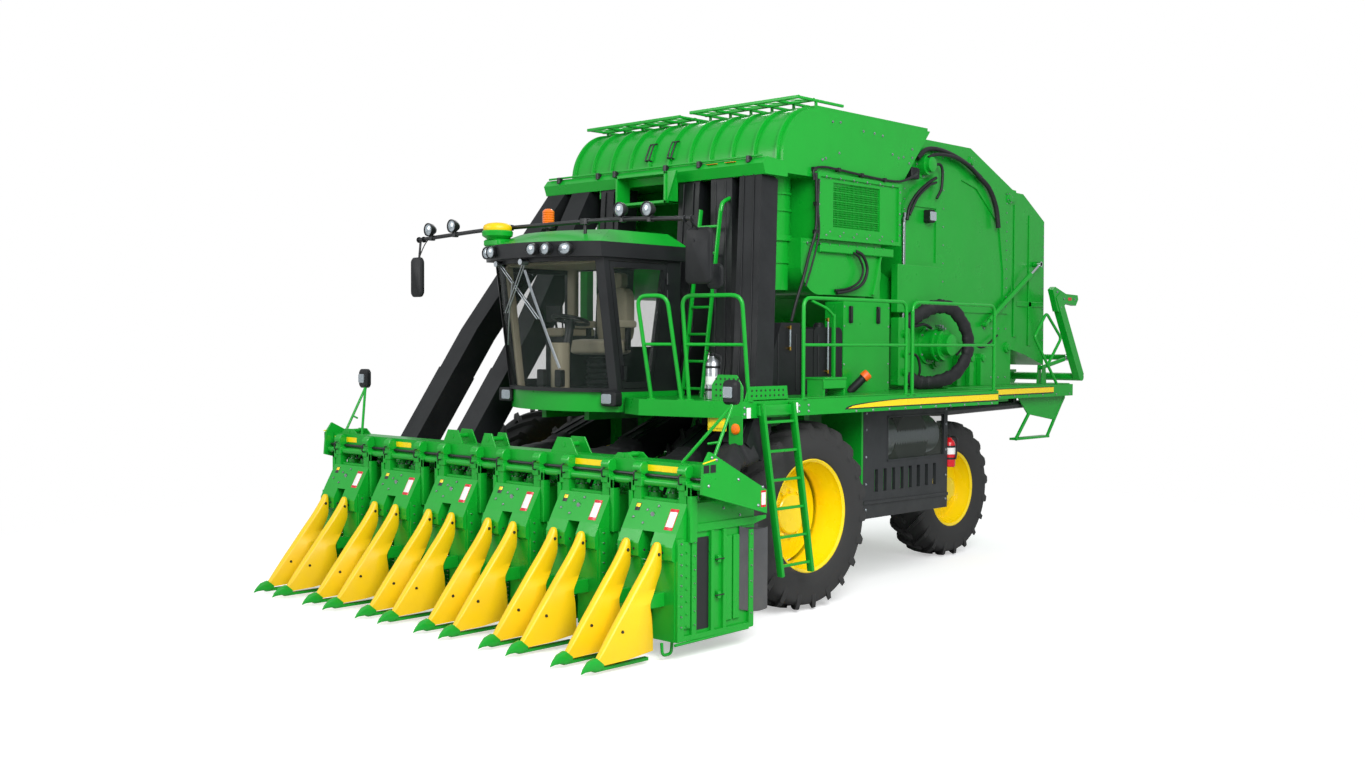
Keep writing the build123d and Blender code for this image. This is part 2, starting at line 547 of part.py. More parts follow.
ROOF_OVERHANG = 55
VISOR_FRONT_Y = -2110
VISOR_BOW = 330
VISOR_TOP_Z = CAB_TOP_Z + 150
ROOF_HIGH_Z = CAB_TOP_Z + 290
ROOF_HALF, ROOF_REAR_Y = CAB_HALF_WIDTH + ROOF_OVERHANG, CAB_REAR_Y + ROOF_OVERHANG
roof_low = Plane.XY.offset(CAB_TOP_Z) * cab_outline(ROOF_HALF, VISOR_FRONT_Y + VISOR_BOW, VISOR_FRONT_Y,
                                                    ROOF_REAR_Y)
roof_high = Plane.XY.offset(VISOR_TOP_Z) * cab_outline(ROOF_HALF, VISOR_FRONT_Y + VISOR_BOW - 20,
                                                       VISOR_FRONT_Y - 20, ROOF_REAR_Y)
roof_crown = Plane.XY.offset(ROOF_HIGH_Z) * cab_outline(CAB_HALF_WIDTH - 130, -1500, -1720, CAB_REAR_Y - 60)
cab_roof = loft([roof_high, roof_crown], ruled=True)
roof_visor = loft([roof_low, roof_high], ruled=True)
node("cab_roof", cab_roof)
node("roof_visor", roof_visor)

seat = block((-260, 260), (-1180, -700), (CAB_FLOOR_Z + 380, CAB_FLOOR_Z + 520))
seat += block((-250, 250), (-780, -660), (CAB_FLOOR_Z + 480, CAB_FLOOR_Z + 1120))
seat += block((-150, 150), (-1080, -780), (CAB_FLOOR_Z, CAB_FLOOR_Z + 400))
console = block((-620, -330), (-1180, -720), (CAB_FLOOR_Z, CAB_FLOOR_Z + 640))
column = rod((0, -1520, CAB_FLOOR_Z - 20), (0, -1372, CAB_FLOOR_Z + 722), 45)
column -= block((-100, 100), (-1700, -1300), (CAB_FLOOR_Z - 60, CAB_FLOOR_Z))
wheel_plane = Plane(origin=(0, -1370, CAB_FLOOR_Z + 720), z_dir=(0, 0.25, 1))
wheel = push(wheel_plane * (RegularPolygon(204, 16) - RegularPolygon(176, 16)), 24, wheel_plane.z_dir)
spoke = block((-180, 180), (-1385, -1355), (CAB_FLOOR_Z + 718, CAB_FLOOR_Z + 738))
node("cab_furniture", seat)
node("cab_frame", cab_frame, console, column + wheel + spoke)

# Lamps and mirrors. The bar crosses the roof's front on two short posts.
LAMP_BAR_Y = -1720
LAMP_BAR_Z = 3960
LAMP_BAR_R = 22
LAMP_BAR_HALF = 2150
LAMP_BAR_BEND_X = 1000
LAMP_BAR_DROP = 60
BAR_END_Y, BAR_END_Z = LAMP_BAR_Y - LAMP_BAR_DROP, LAMP_BAR_Z - LAMP_BAR_DROP
lamp_bar = tube_run([(-LAMP_BAR_HALF, BAR_END_Y, BAR_END_Z), (-LAMP_BAR_BEND_X, LAMP_BAR_Y, LAMP_BAR_Z),
                     (LAMP_BAR_BEND_X, LAMP_BAR_Y, LAMP_BAR_Z), (LAMP_BAR_HALF, BAR_END_Y, BAR_END_Z)],
                    LAMP_BAR_R, 300)
for x in (-600, 600):
    lamp_bar += rod((x, LAMP_BAR_Y, CAB_TOP_Z + 100), (x, LAMP_BAR_Y, LAMP_BAR_Z), 18)
lamp_bar -= cab_roof + roof_visor
node("lamp_bar", lamp_bar)

LAMP_R = 65
roof_lamps = []
for x in (-1900, -1500, 1150, 1550):
    drop = LAMP_BAR_DROP * (abs(x) - LAMP_BAR_BEND_X) / (LAMP_BAR_HALF - LAMP_BAR_BEND_X)
    y, z = LAMP_BAR_Y - drop, LAMP_BAR_Z - drop + LAMP_BAR_R + LAMP_R
    roof_lamps.append(rod((x, y - 60, z - 15), (x, y + 50, z), LAMP_R))
for x in (-560, -380, 330, 480, 620):
    y = VISOR_FRONT_Y + VISOR_BOW * (x / (CAB_HALF_WIDTH + ROOF_OVERHANG)) ** 2
    roof_lamps.append(rod((x, y - 70, CAB_TOP_Z + 70), (x, y + 60, CAB_TOP_Z + 70), LAMP_R * 0.85))
node("work_lamps", *[lamp - roof_visor - lamp_bar for lamp in roof_lamps])

dome = Pos(-560, -1560, ROOF_HIGH_Z - 20) * Cylinder(140, 60, align=(Align.CENTER, Align.CENTER, Align.MIN))
dome += Pos(-560, -1560, ROOF_HIGH_Z + 40) * Cone(140, 60, 45, align=(Align.CENTER, Align.CENTER, Align.MIN))
dome -= cab_roof
beacon = Pos(-300, -1150, ROOF_HIGH_Z) * Cylinder(50, 120, align=(Align.CENTER, Align.CENTER, Align.MIN))
node("roof_beacons", dome, beacon)

MIRROR_ARM_X = 2080
mirror_left = block((1900, 2230), (-1640, -1590), (3300, 3830))
mirror_left += round_bar((MIRROR_ARM_X, -1620, 3800), (MIRROR_ARM_X, LAMP_BAR_Y - 55, LAMP_BAR_Z - 50), 14)
mirror_right = block((-2230, -2010), (-1830, -1780), (3250, 3700))
mirror_right += round_bar((-2100, -1800, 3680), (-2100, LAMP_BAR_Y - 55, LAMP_BAR_Z - 50), 14)
rail_mirror = block((1960, 2160), (-1400, -1360), (3260, 3500))
rail_mirror += round_bar((2060, -1381, RAIL_TOP), (2060, -1381, 3270), 12)
node("mirrors", *[piece - lamp_bar for piece in (mirror_left, mirror_right)], rail_mirror - rails[3])
node("rails_and_ladders", *rails, boarding, upper, rear_steps)

# ---- Deck equipment ------------------------------------------------------------------------
TANK_LOW = DECK_TOP
TANK_X = (1490, 1760)
front_tank = side_plate([(-330, TANK_LOW), (-20, 2960), (300, 2960), (300, TANK_LOW)], *TANK_X)
middle_tank = side_plate([(312, TANK_LOW), (312, 2900), (520, 2900), (520, TANK_LOW)], *TANK_X)
rear_tank = block(TANK_X, (532, 1040), (TANK_LOW, 2920))
rear_tank = fillet(rear_tank.edges().filter_by(Axis.X).group_by(Axis.Z)[-1], 70)
node("deck_tanks", front_tank, middle_tank, rear_tank)
cabinet = block((1490, 1740), (1080, 1960), (DECK_TOP, 3210))
node("service_cabinet", fillet(cabinet.edges().filter_by(Axis.X), 25))

exhaust = tube_run([(1180, 3420, 1900), (1420, 3420, 1900), (1420, 3620, 1900), (1420, 5750, 1940)], 55, 90)
exhaust += block((1380, 1460), (3700, 3760), (1900, BEARER_TOP))
exhaust += block((1380, 1460), (5260, 5340), (1900, BEARER_LOW))
node("exhaust_pipe", exhaust)

motor = x_disc((CHAMBER_HALF_WIDTH - 1, CHAMBER_HALF_WIDTH + 260), (3420, 2730), 190)
motor += x_disc((CHAMBER_HALF_WIDTH + 260, CHAMBER_HALF_WIDTH + 340), (3420, 2730), 120)
bottle = rod((1850, -1180, DECK_TOP), (1850, -1180, DECK_TOP + 480), 70)

GUARD_X = 2000
GUARD_PLATE = 40
GUARD_Y = (1110, 2800)
GUARD_LOW = 820
guard = block((GUARD_X - GUARD_PLATE, GUARD_X), GUARD_Y, (GUARD_LOW, BEARER_LOW))
guard_window = block((GUARD_X - 50, GUARD_X + 10), (1580, 2720), (1445, 1925))
guard += side_plate([(GUARD_Y[0], GUARD_LOW + 160), (GUARD_Y[1], GUARD_LOW + 140),
                     (GUARD_Y[1], GUARD_LOW + 175), (GUARD_Y[0], GUARD_LOW + 195)], GUARD_X - 1, GUARD_X + 15)
slots = [block((GUARD_X - 50, GUARD_X + 10), (1330 + i * 166, 1395 + i * 166), (1105, 1355))
         for i in range(8)]
left_guard = guard - guard_window
for slot in slots:
    left_guard -= slot
right_guard = mirror(guard, Plane.YZ)
GUARD_FRAME_X = 1480
inner_panel = block((GUARD_FRAME_X - 30, GUARD_FRAME_X), (1080, 2860), (900, BEARER_LOW))
front_wall = block((GUARD_FRAME_X - 30, GUARD_X), (1080, 1110), (900, BEARER_LOW))
node("engine_bay_panels", *both_sides(inner_panel + front_wall))
screen = x_disc((GUARD_FRAME_X, GUARD_X - GUARD_PLATE - 30), (2150, 1640), 330)
node("side_guards", left_guard, right_guard, screen)

red_bottle = rod((GUARD_X - 20, GUARD_Y[1] + 72.3, 1290), (GUARD_X - 20, GUARD_Y[1] + 72.3, 1720), 72)
node("extinguishers", bottle, red_bottle)

# ---- Bin (accumulator) and feeder ----------------------------------------------------------
BIN_FRONT_Y = 130
FEEDER_FRONT_Y = 500
BIN_WALL_Y = 700
BIN_STEP_Z = BIN_FRONT_Z - 100
bin_edges = Polyline((BIN_FRONT_Y, BIN_FRONT_Z), (BIN_FRONT_Y, BIN_STEP_Z), (BIN_WALL_Y, BIN_STEP_Z),
                     (BIN_WALL_Y, BIN_FLOOR), (2270, BIN_FLOOR), (2330, BIN_TOP - 660), (2900, BIN_TOP),
                     (690, BIN_TOP))
bin_edges += ThreePointArc((690, BIN_TOP), (290, BIN_TOP - 180), (BIN_FRONT_Y, BIN_FRONT_Z))
bin_outer = push(SIDE.offset(-BIN_HALF_WIDTH) * make_face(bin_edges), 2 * BIN_HALF_WIDTH, SIDE.z_dir)
inner_edges = Polyline((BIN_FRONT_Y + 40, BIN_FRONT_Z), (BIN_FRONT_Y + 40, BIN_STEP_Z + 40),
                       (BIN_WALL_Y + 40, BIN_STEP_Z + 40), (BIN_WALL_Y + 40, BIN_FLOOR + 40),
                       (2235, BIN_FLOOR + 40), (2292, BIN_TOP - 645), (2870, BIN_TOP + 1),
                       (690, BIN_TOP + 1), (690, BIN_TOP - 40))
inner_edges += ThreePointArc((690, BIN_TOP - 40), (320, BIN_TOP - 208), (BIN_FRONT_Y + 40, BIN_FRONT_Z))
bin_inner = push(SIDE.offset(-BIN_HALF_WIDTH + BIN_WALL) * make_face(inner_edges),
                 2 * (BIN_HALF_WIDTH - BIN_WALL), SIDE.z_dir)
bin_shell = bin_outer - bin_inner
GRILLE_Z = (BIN_FLOOR + 140, BIN_FLOOR + 630)
grille_hole = block((BIN_HALF_WIDTH - BIN_WALL - 5, BIN_HALF_WIDTH + 5), (1000, 1880), GRILLE_Z)
bin_shell = bin_shell - grille_hole - mirror(grille_hole, Plane.YZ)
grille = block((BIN_HALF_WIDTH - 25, BIN_HALF_WIDTH - 15), (1000, 1880), GRILLE_Z)
node("bin_grilles", *both_sides(grille))

BROW_LOW = BIN_FRONT_Z - 150
brow = side_plate([(BIN_FRONT_Y + 1, BROW_LOW), (-230, BROW_LOW), (-270, BROW_LOW + 110),
                   (-210, BIN_FRONT_Z + 30), (BIN_FRONT_Y + 1, BIN_FRONT_Z + 10)],
                  -BIN_HALF_WIDTH - 60, BIN_HALF_WIDTH + 60)
brow -= block((-BIN_HALF_WIDTH - 20, BIN_HALF_WIDTH + 20), (-205, BIN_FRONT_Y), (BROW_LOW - 1, BIN_FRONT_Z - 20))
brow += block((-BIN_HALF_WIDTH, BIN_HALF_WIDTH), (-206, BIN_FRONT_Y + 1), (BROW_LOW, BROW_LOW + 20))
ducts = [piece - bin_outer - block((-2000, 2000), (-600, 600), (BROW_LOW, BIN_TOP)) for piece in ducts]
node("air_ducts", *ducts)
bin_shell += brow - bin_outer

# Curved ribs stiffen the bin's front; each is (x, thickness) and stands this far out of the sheet.
RIB_HEIGHT = 35
RIB_COUNT = 11
rib_foot, rib_top = (BIN_FRONT_Y - RIB_HEIGHT, BIN_FRONT_Z), (690, BIN_TOP + RIB_HEIGHT / 2)
rib_edges = Polyline(rib_foot, (690, BIN_FRONT_Z), rib_top)
rib_edges += ThreePointArc(rib_top, (265, BIN_TOP - 155), rib_foot)
rib = push(SIDE * make_face(rib_edges), 25, SIDE.z_dir) - bin_outer
for i in range(RIB_COUNT):
    x = -BIN_HALF_WIDTH + 60 + i * (2 * BIN_HALF_WIDTH - 145) / (RIB_COUNT - 1)
    bin_shell += Pos(x, 0, 0) * rib

# Side stiffeners, a flange round the grille panel, and the drums where the ducts discharge.
SIDE_RIB = 22
side_frame = block((BIN_HALF_WIDTH - 1, BIN_HALF_WIDTH + SIDE_RIB), (BIN_WALL_Y, 2270),
                   (BIN_FLOOR, BIN_STEP_Z + 60))
side_frame -= block((BIN_HALF_WIDTH - 2, BIN_HALF_WIDTH + SIDE_RIB + 1), (BIN_WALL_Y + 45, 2225),
                    (BIN_FLOOR + 45, BIN_STEP_Z + 15))
DRUM_R = 250
DRUM_X, DRUM_Y = 1180, 440
drum = rod((DRUM_X, DRUM_Y, BIN_FLOOR - 560), (DRUM_X, DRUM_Y, BIN_STEP_Z + 1), DRUM_R)
drum += rod((DRUM_X, DRUM_Y, BIN_FLOOR - 30), (DRUM_X, DRUM_Y, BIN_FLOOR + 30), DRUM_R + 30)
drum -= block((0, 2 * DRUM_X), (FEEDER_FRONT_Y, 2 * DRUM_Y), (0, BIN_FLOOR))
for piece in both_sides(side_frame, drum - bin_outer):
    bin_shell += piece

for x0, x1 in ((-BIN_HALF_WIDTH + 10, -20), (20, BIN_HALF_WIDTH - 10)):
    lid = block((x0, x1), (700, 2860), (BIN_TOP, BIN_TOP + 35))
    for i in range(4):
        span = (x1 - x0 - 60) / 4
        lid -= block((x0 + 60 + i * span, x0 + i * span + span), (760, 2800), (BIN_TOP - 1, BIN_TOP + 36))
    bin_shell += lid
node("accumulator", bin_shell)

FEEDER_LOW = BIN_FLOOR - 600
feeder_edges = Polyline((FEEDER_FRONT_Y, BIN_FLOOR), (FEEDER_FRONT_Y, FEEDER_LOW + 280))
feeder_edges += ThreePointArc((FEEDER_FRONT_Y, FEEDER_LOW + 280), (640, FEEDER_LOW + 60), (900, FEEDER_LOW))
feeder_edges += Polyline((900, FEEDER_LOW), (1900, FEEDER_LOW), (1980, FEEDER_LOW + 220), (1980, BIN_FLOOR),
                         (FEEDER_FRONT_Y, BIN_FLOOR))
feeder = push(SIDE.offset(-BIN_HALF_WIDTH + 50) * make_face(feeder_edges),
              2 * (BIN_HALF_WIDTH - 50), SIDE.z_dir)
conveyor = side_plate([(1980, FEEDER_LOW + 20), (1980, BIN_FLOOR - 30),
                       (CHAMBER_FRONT_Y, 3500), (CHAMBER_FRONT_Y, 2950)],
                      -1200, 1200)
node("feeder_housing", feeder + conveyor)

posts = []
POST_X = 1400
for x in (-POST_X, POST_X):
    foot = DECK_TOP if x > 0 else BEARER_TOP
    posts.append(block((x - 60, x + 60), (95, 195), (foot, BROW_LOW)))
    lower = block((x - 60, x + 60), (2040, 2160), (foot, BIN_FLOOR))
    posts.append(lower)

# ---- Module chamber ------------------------------------------------------------------------
CHAMBER_OUTLINE = [(CHAMBER_FRONT_Y, DECK_TOP), (CHAMBER_FRONT_Y, 5040), (3020, 5270), (4380, 5270),
                   (5440, 4830),
                   (5440, DECK_TOP)]
plate = side_plate(CHAMBER_OUTLINE, CHAMBER_HALF_WIDTH - CHAMBER_WALL, CHAMBER_HALF_WIDTH)
plate += side_plate([(5400, 4650), (5400, 4830), (5540, 4820), (5560, 4740), (5520, 4680)],
                    CHAMBER_HALF_WIDTH - CHAMBER_WALL, CHAMBER_HALF_WIDTH)
plate += x_disc((GATE_HALF_WIDTH - CHAMBER_WALL, CHAMBER_HALF_WIDTH), (GATE_HINGE_Y, GATE_HINGE_Z), GATE_PIN_R)
inside = CHAMBER_HALF_WIDTH - CHAMBER_WALL
front_wall = block((-inside, inside), (CHAMBER_FRONT_Y, CHAMBER_FRONT_Y + 50), (DECK_TOP, 5040))
top_wall = side_plate([(CHAMBER_FRONT_Y, 5040), (3020, 5270), (4380, 5270), (5300, 4888), (5285, 4852),
                       (4372, 5230), (3040, 5230), (CHAMBER_FRONT_Y + 50, 5020)], -inside, inside)
gate_pin = x_disc((CHAMBER_HALF_WIDTH - 1, 1390), (4700, 3000), 16)
chamber = plate + mirror(plate, Plane.YZ) + front_wall + top_wall

ROLLER_R = 70
ROLLERS = [(3480, 5050), (4360, 5090), (5330, 4700), (5330, 2700), (4400, 2420), (3560, 2500)]
rollers = []
for y, z in ROLLERS:
    roller = x_disc((-inside + 20, inside - 20), (y, z), ROLLER_R)
    roller += x_disc((-inside, inside), (y, z), 30)
    rollers.append(roller)
node("chamber_rollers", *rollers)
bearings = [x_disc((CHAMBER_HALF_WIDTH - 1, CHAMBER_HALF_WIDTH + 12), centre, 75) for centre in ROLLERS]
# Each side wall: a deep frame round two sunk panels, and a stiffener under each.
SIDE_PANELS = [[(2920, 3750), (2960, 4430), (3560, 4430), (3560, 3750)],
               [(3890, 3250), (4130, 4840), (4500, 4760), (5080, 4320), (5200, 3700), (5200, 3250)]]
FRAME_DEEP = 18
wall_frame = side_plate([(CHAMBER_FRONT_Y, 3150), (CHAMBER_FRONT_Y, 4900), (3150, 5150), (4360, 5150),
                         (5330, 4700), (5330, 3150)], CHAMBER_HALF_WIDTH - 1, CHAMBER_HALF_WIDTH + FRAME_DEEP)
for outline in SIDE_PANELS:
    wall_frame -= side_plate(outline, CHAMBER_HALF_WIDTH - 2, CHAMBER_HALF_WIDTH + FRAME_DEEP + 1)
for piece in both_sides(*bearings, gate_pin, motor, wall_frame):
    chamber += piece
node("module_chamber", chamber)

# ---- Gate ----------------------------------------------------------------------------------
GATE_OUTLINE = [(GATE_FRONT_Y, 4690), (5480, 4810), (5830, 4800), (6420, 4460), (6440, 2450),
                (5910, 2600), (GATE_FRONT_Y, 2690)]
GATE_INNER = [(GATE_FRONT_Y - 1, 4640), (5520, 4765), (5810, 4755), (6380, 4430), (6395, 2505),
              (5915, 2645), (GATE_FRONT_Y - 1, 2735)]
gate = side_plate(GATE_OUTLINE, -GATE_HALF_WIDTH, GATE_HALF_WIDTH)
gate -= side_plate(GATE_INNER, -GATE_HALF_WIDTH + CHAMBER_WALL, GATE_HALF_WIDTH - CHAMBER_WALL)
gate -= x_disc((-CHAMBER_HALF_WIDTH, CHAMBER_HALF_WIDTH), (GATE_HINGE_Y, GATE_HINGE_Z), GATE_PIN_R + RUNNING_GAP)
GATE_EYE = (6110, 3850)
gate_boss = x_disc((GATE_HALF_WIDTH - 1, 1325), GATE_EYE, 38)
gate += gate_boss + mirror(gate_boss, Plane.YZ)
node("gate_shell", gate)

# ---- Handler -------------------------------------------------------------------------------
ARM_TOP = (6330, 3430)
arm = bar((HANDLER_X, HANDLER_PIVOT_Y, HANDLER_PIVOT_Z), (HANDLER_X, *ARM_TOP), 100, 140)
cross_tube = x_disc((-HANDLER_X - 50, HANDLER_X + 50), (HANDLER_PIVOT_Y, HANDLER_PIVOT_Z), HANDLER_TUBE_R)
cradle = x_disc((-HANDLER_X, HANDLER_X), (HANDLER_PIVOT_Y - 40, 2560), 40)
HANDLER_EYE = (6865, 2550)
arm += side_plate([(HANDLER_EYE[0] - 40, 2510), (7000, 2480), (6960, 2660), (HANDLER_EYE[0] - 40, 2590)],
                  HANDLER_X - 50, HANDLER_X - 30)
arm += x_disc((HANDLER_X - 55, HANDLER_X - 30), HANDLER_EYE, 34)
arm += side_plate([(6180, 3500), (6250, 3540), (6560, 3450), (6900, 3440), (6920, 3380), (6850, 3290),
                   (6560, 3320), (6430, 3200), (6330, 3200)], HANDLER_X - 40, HANDLER_X + 40)
handler = arm + mirror(arm, Plane.YZ) + cross_tube + cradle
node("handler_frame", handler)
bracket = side_plate([(6620, REAR_RAIL_HIGH), (6900, REAR_RAIL_HIGH), (REAR_REACH, 2230), (REAR_REACH, 2370),
                      (6950, 2370), (6620, DECK_TOP)], RAIL_X - 40, RAIL_X + 40)
bracket -= x_disc((0, HANDLER_X), (HANDLER_PIVOT_Y, HANDLER_PIVOT_Z), HANDLER_TUBE_R + RUNNING_GAP)

# ---- Cylinders: (barrel pin, rod eye, x, barrel radius, rod radius, barrel share of the rest length)
CYLINDERS = {
    "lift": ((-520, 800), (-1350, 1330), LIFT_ARM_X, 50, 26, 0.72),
    "gate": ((4700, 3000), GATE_EYE, 1355, 34, 18, 0.82),
    "handler": ((6120, 2420), HANDLER_EYE, HANDLER_X - 85, 28, 16, 0.85),
}
for name, (base_pin, eye, x, barrel_r, rod_r, share) in CYLINDERS.items():
    along = Vector(0, eye[0] - base_pin[0], eye[1] - base_pin[1])
    unit = along.normalized()
    start = Vector(x, *base_pin)
    end = start + along
    barrel_end = start + along * share
    barrel = pipe(tuple(start + unit * 130), tuple(barrel_end), barrel_r, rod_r + RUNNING_GAP)
    barrel += rod(tuple(start + unit * 105), tuple(start + unit * 140), barrel_r)
    barrel += rod(tuple(start + unit * 20), tuple(start + unit * 110), 24)
    barrel += x_disc((x - 28, x + 28), base_pin, barrel_r)
    barrel -= x_disc((x - 40, x + 40), base_pin, 16 + RUNNING_GAP)
    ram = rod(tuple(start + unit * 150), tuple(end - unit * 20), rod_r)
    ram += x_disc((x - 25, x + 25), eye, 38)
    ram -= x_disc((x - 40, x + 40), eye, 24)
    node(f"{name}_barrels", *both_sides(barrel))
    node(f"{name}_rods", *both_sides(ram))


def pin_ears(x, centre, pin_r, reach, ear_gap=32, ear=20):
    """Two ears and the pin between them, square to X; reach lists the ears' outline in (y, z)."""
    piece = x_disc((x - ear_gap - ear, x + ear_gap + ear), centre, pin_r)
    for low in (x - ear_gap - ear, x + ear_gap):
        piece += side_plate(reach, low, low + ear)
    return piece


lift_pins = pin_ears(LIFT_ARM_X, (-520, 800), 16,
                     [(-570, 750), (-470, 750), (-360, RAIL_LOW), (-430, RAIL_LOW)])
HANDLER_BASE, HANDLER_ROD_X = CYLINDERS["handler"][0], CYLINDERS["handler"][2]
handler_pin = pin_ears(HANDLER_ROD_X, HANDLER_BASE, 16,
                       [(6050, DECK_TOP), (6190, DECK_TOP), (6160, 2460), (6080, 2460)], 30, 10)
node("frame_brackets", hanger, *both_sides(cab_mount, bracket, lift_pins, handler_pin))
node("bin_posts", *posts)

# ---- Header --------------------------------------------------------------------------------
toolbar = block((-HEADER_HALF_WIDTH + 30, HEADER_HALF_WIDTH - 30),
                (TOOLBAR_Y - TOOLBAR_SIZE / 2, TOOLBAR_Y + TOOLBAR_SIZE / 2),
                (TOOLBAR_LOW, TOOLBAR_LOW + TOOLBAR_SIZE))
end_plate = side_plate([(-2520, 1450), (-2500, 1700), (-2420, 1810), (-1660, 1430), (-1660, 1220)],
                       HEADER_HALF_WIDTH - 30, HEADER_HALF_WIDTH)
lift_arm = side_plate([(LIFT_PIVOT_Y + 70, LIFT_PIVOT_Z - 70), (LIFT_PIVOT_Y + 70, LIFT_PIVOT_Z + 70),
                       (TOOLBAR_Y + 105, 1560), (TOOLBAR_Y + 105, TOOLBAR_LOW),
                       (-1500, 1372), (-1250, 1250), (LIFT_PIVOT_Y - 200, LIFT_PIVOT_Z - 70)],
                      LIFT_ARM_X - LIFT_ARM_WIDTH / 2, LIFT_ARM_X + LIFT_ARM_WIDTH / 2)
LIFT_EYE = CYLINDERS["lift"][1]
slot = block((LIFT_ARM_X - 32, LIFT_ARM_X + 32), (LIFT_EYE[0] - 160, LIFT_EYE[0] + 240), (1000, 1400))
lift_arm -= slot
lift_arm += x_disc((LIFT_ARM_X - 54, LIFT_ARM_X + 54), LIFT_EYE, 12)
lift_arm -= x_disc((0, 400), (LIFT_PIVOT_Y, LIFT_PIVOT_Z), LIFT_SHAFT_R + RUNNING_GAP)
toolbar += end_plate + mirror(end_plate, Plane.YZ)
toolbar += lift_arm + mirror(lift_arm, Plane.YZ)

HOOD_TOP_Y = -2492
HOOD_FOLD_Y = -2628
HOOD_LIP_Y = -2680
HALF_OUTLINE = [(UNIT_REAR_Y, UNIT_LOW), (UNIT_REAR_Y, 1100), (HOOD_FOLD_Y, 1100), (HOOD_LIP_Y, 990),
                (HOOD_LIP_Y, 880), (UNIT_FRONT_Y, 860), (UNIT_FRONT_Y, UNIT_LOW)]
# A lifter from the side: a low flared body up to its shoulder, and a slim blade above.
LIFTER_X = 190
LIFTER_BODY = [(TIP_Y + 60, 60), (TIP_Y + 20, 95), (-3370, 205), (-3215, 400), (-3055, 600), (-2760, 600),
               (-2845, 500), (-2845, 60)]
LIFTER_BLADE = [(-3075, 575), (-2890, 800), (-2805, 900), (-2735, 1000), (-2715, 1024), (-2696, 1024),
                (-2690, 990), (-2690, 800), (-2790, 575)]
LIFTER_PLAN = [(-20, TIP_Y), (20, TIP_Y), (44, -3300), (98, -2840), (98, -2700), (-98, -2700),
               (-98, -2840), (-44, -3300)]
CHANNEL_DEEP = 30
cases, halves, hangers, lifters, shoes, shields, outlets, channels = [], [], [], [], [], [], [], []
for x in ROWS_X:
    case = side_plate([(UNIT_REAR_Y, 1100), (UNIT_REAR_Y, UNIT_TOP), (HOOD_TOP_Y, UNIT_TOP), (HOOD_FOLD_Y, 1100)],
                      x - UNIT_HALF_WIDTH, x + UNIT_HALF_WIDTH)
    cases.append(case)
    for low, high in ((x - UNIT_HALF_WIDTH, x - PASSAGE_HALF_WIDTH), (x + PASSAGE_HALF_WIDTH, x + UNIT_HALF_WIDTH)):
        halves.append(side_plate(HALF_OUTLINE, low, high))
        shields.append(block((low, high), (UNIT_REAR_Y, UNIT_REAR_Y + 50), (300, 1100)))
    for side in (-1, 1):
        hx = x + side * (UNIT_HALF_WIDTH - 60)
        hangers.append(block((hx - 45, hx + 45), (TOOLBAR_Y - 190, TOOLBAR_Y - 105), (UNIT_TOP, 1660)))
        lx = x + side * LIFTER_X
        body = side_plate(LIFTER_BODY, lx - 100, lx + 100) & (Pos(lx, 0, 0) * plan_plate(LIFTER_PLAN, 0, 700))
        lifter = body + side_plate(LIFTER_BLADE, lx - 43, lx + 43)
        lifters.append(lifter)
        shoes.append(side_plate([(TIP_Y - 40, 30), (TIP_Y - 20, 60), (-2845, 60), (-2845, 30)], lx - 25, lx + 25))
        shoes.append(block((lx - 30, lx + 30), (-2830, UNIT_FRONT_Y), (470, 590)) - lifter)
    outlets.append(block((x - 140, x + 140), (-1740, -1620), (UNIT_TOP, UNIT_TOP + 60)))
    # Hoods' side flanges and the cabinets' stiffening channels, which show on both ends and between the units.
    for face, out in ((x - UNIT_HALF_WIDTH, -1), (x + UNIT_HALF_WIDTH, 1)):
        low, high = sorted((face - out, face + out * CHANNEL_DEEP))
        channel = block((low, high), (-2210, -2010), (UNIT_LOW + 40, 1100)) - block(
            (low - 1, high + 1), (-2170, -2050), (UNIT_LOW, 1101))
        for y0, y1 in ((-2640, -2560), (-2460, -2400), (-1700, -1640)):
            channel += block((low, high), (y0, y1), (UNIT_LOW + 40, 1060))
        channel += block((low, high), (-2640, -1640), (UNIT_LOW, UNIT_LOW + 45))
        channels.append((x, out, channel))
for index, (x, out, channel) in enumerate(channels):
    halves[index] = halves[index] + channel
node("row_cases", *cases)
node("row_cabinets", *halves)
for hanger in hangers:
    toolbar += hanger
node("header_toolbar", toolbar)
node("stalk_lifters", *lifters)
node("lifter_shoes", *shoes)
node("unit_covers", *shields, *outlets)

stands = []
for x in (-2850, 2850):
    top = (x, -1990, 2230)
    stand = round_bar((x, TOOLBAR_Y, TOOLBAR_LOW + TOOLBAR_SIZE), top, 16)
    stand += round_bar((x - 350 * math.copysign(1, x), TOOLBAR_Y, TOOLBAR_LOW + TOOLBAR_SIZE), top, 14)
    stand += block((x - 110, x + 60), (-2060, -1960), (2200, 2420))
    stands.append(stand - toolbar)
node("header_lamps", *stands)

# ---- Tow hitch -----------------------------------------------------------------------------
HITCH_PIN_R = 20
hitch = block((-80, 80), (6765, 7010), (REAR_RAIL_LOW - 40, REAR_RAIL_LOW))
hitch -= Pos(0, 6950, REAR_RAIL_LOW - 20) * Cylinder(HITCH_PIN_R, 60)
node("tow_hitch", hitch)

# ---- Export --------------------------------------------------------------------------------
os.makedirs("parts", exist_ok=True)
for name, solids in nodes.items():
    shape = Compound(children=solids) if len(solids) > 1 else solids[0]
    export_step(Pos(0, FRONT_AXLE_Y, 0) * shape, f"parts/{name}.step")
print(len(nodes), "nodes, front axle at Y", FRONT_AXLE_Y)
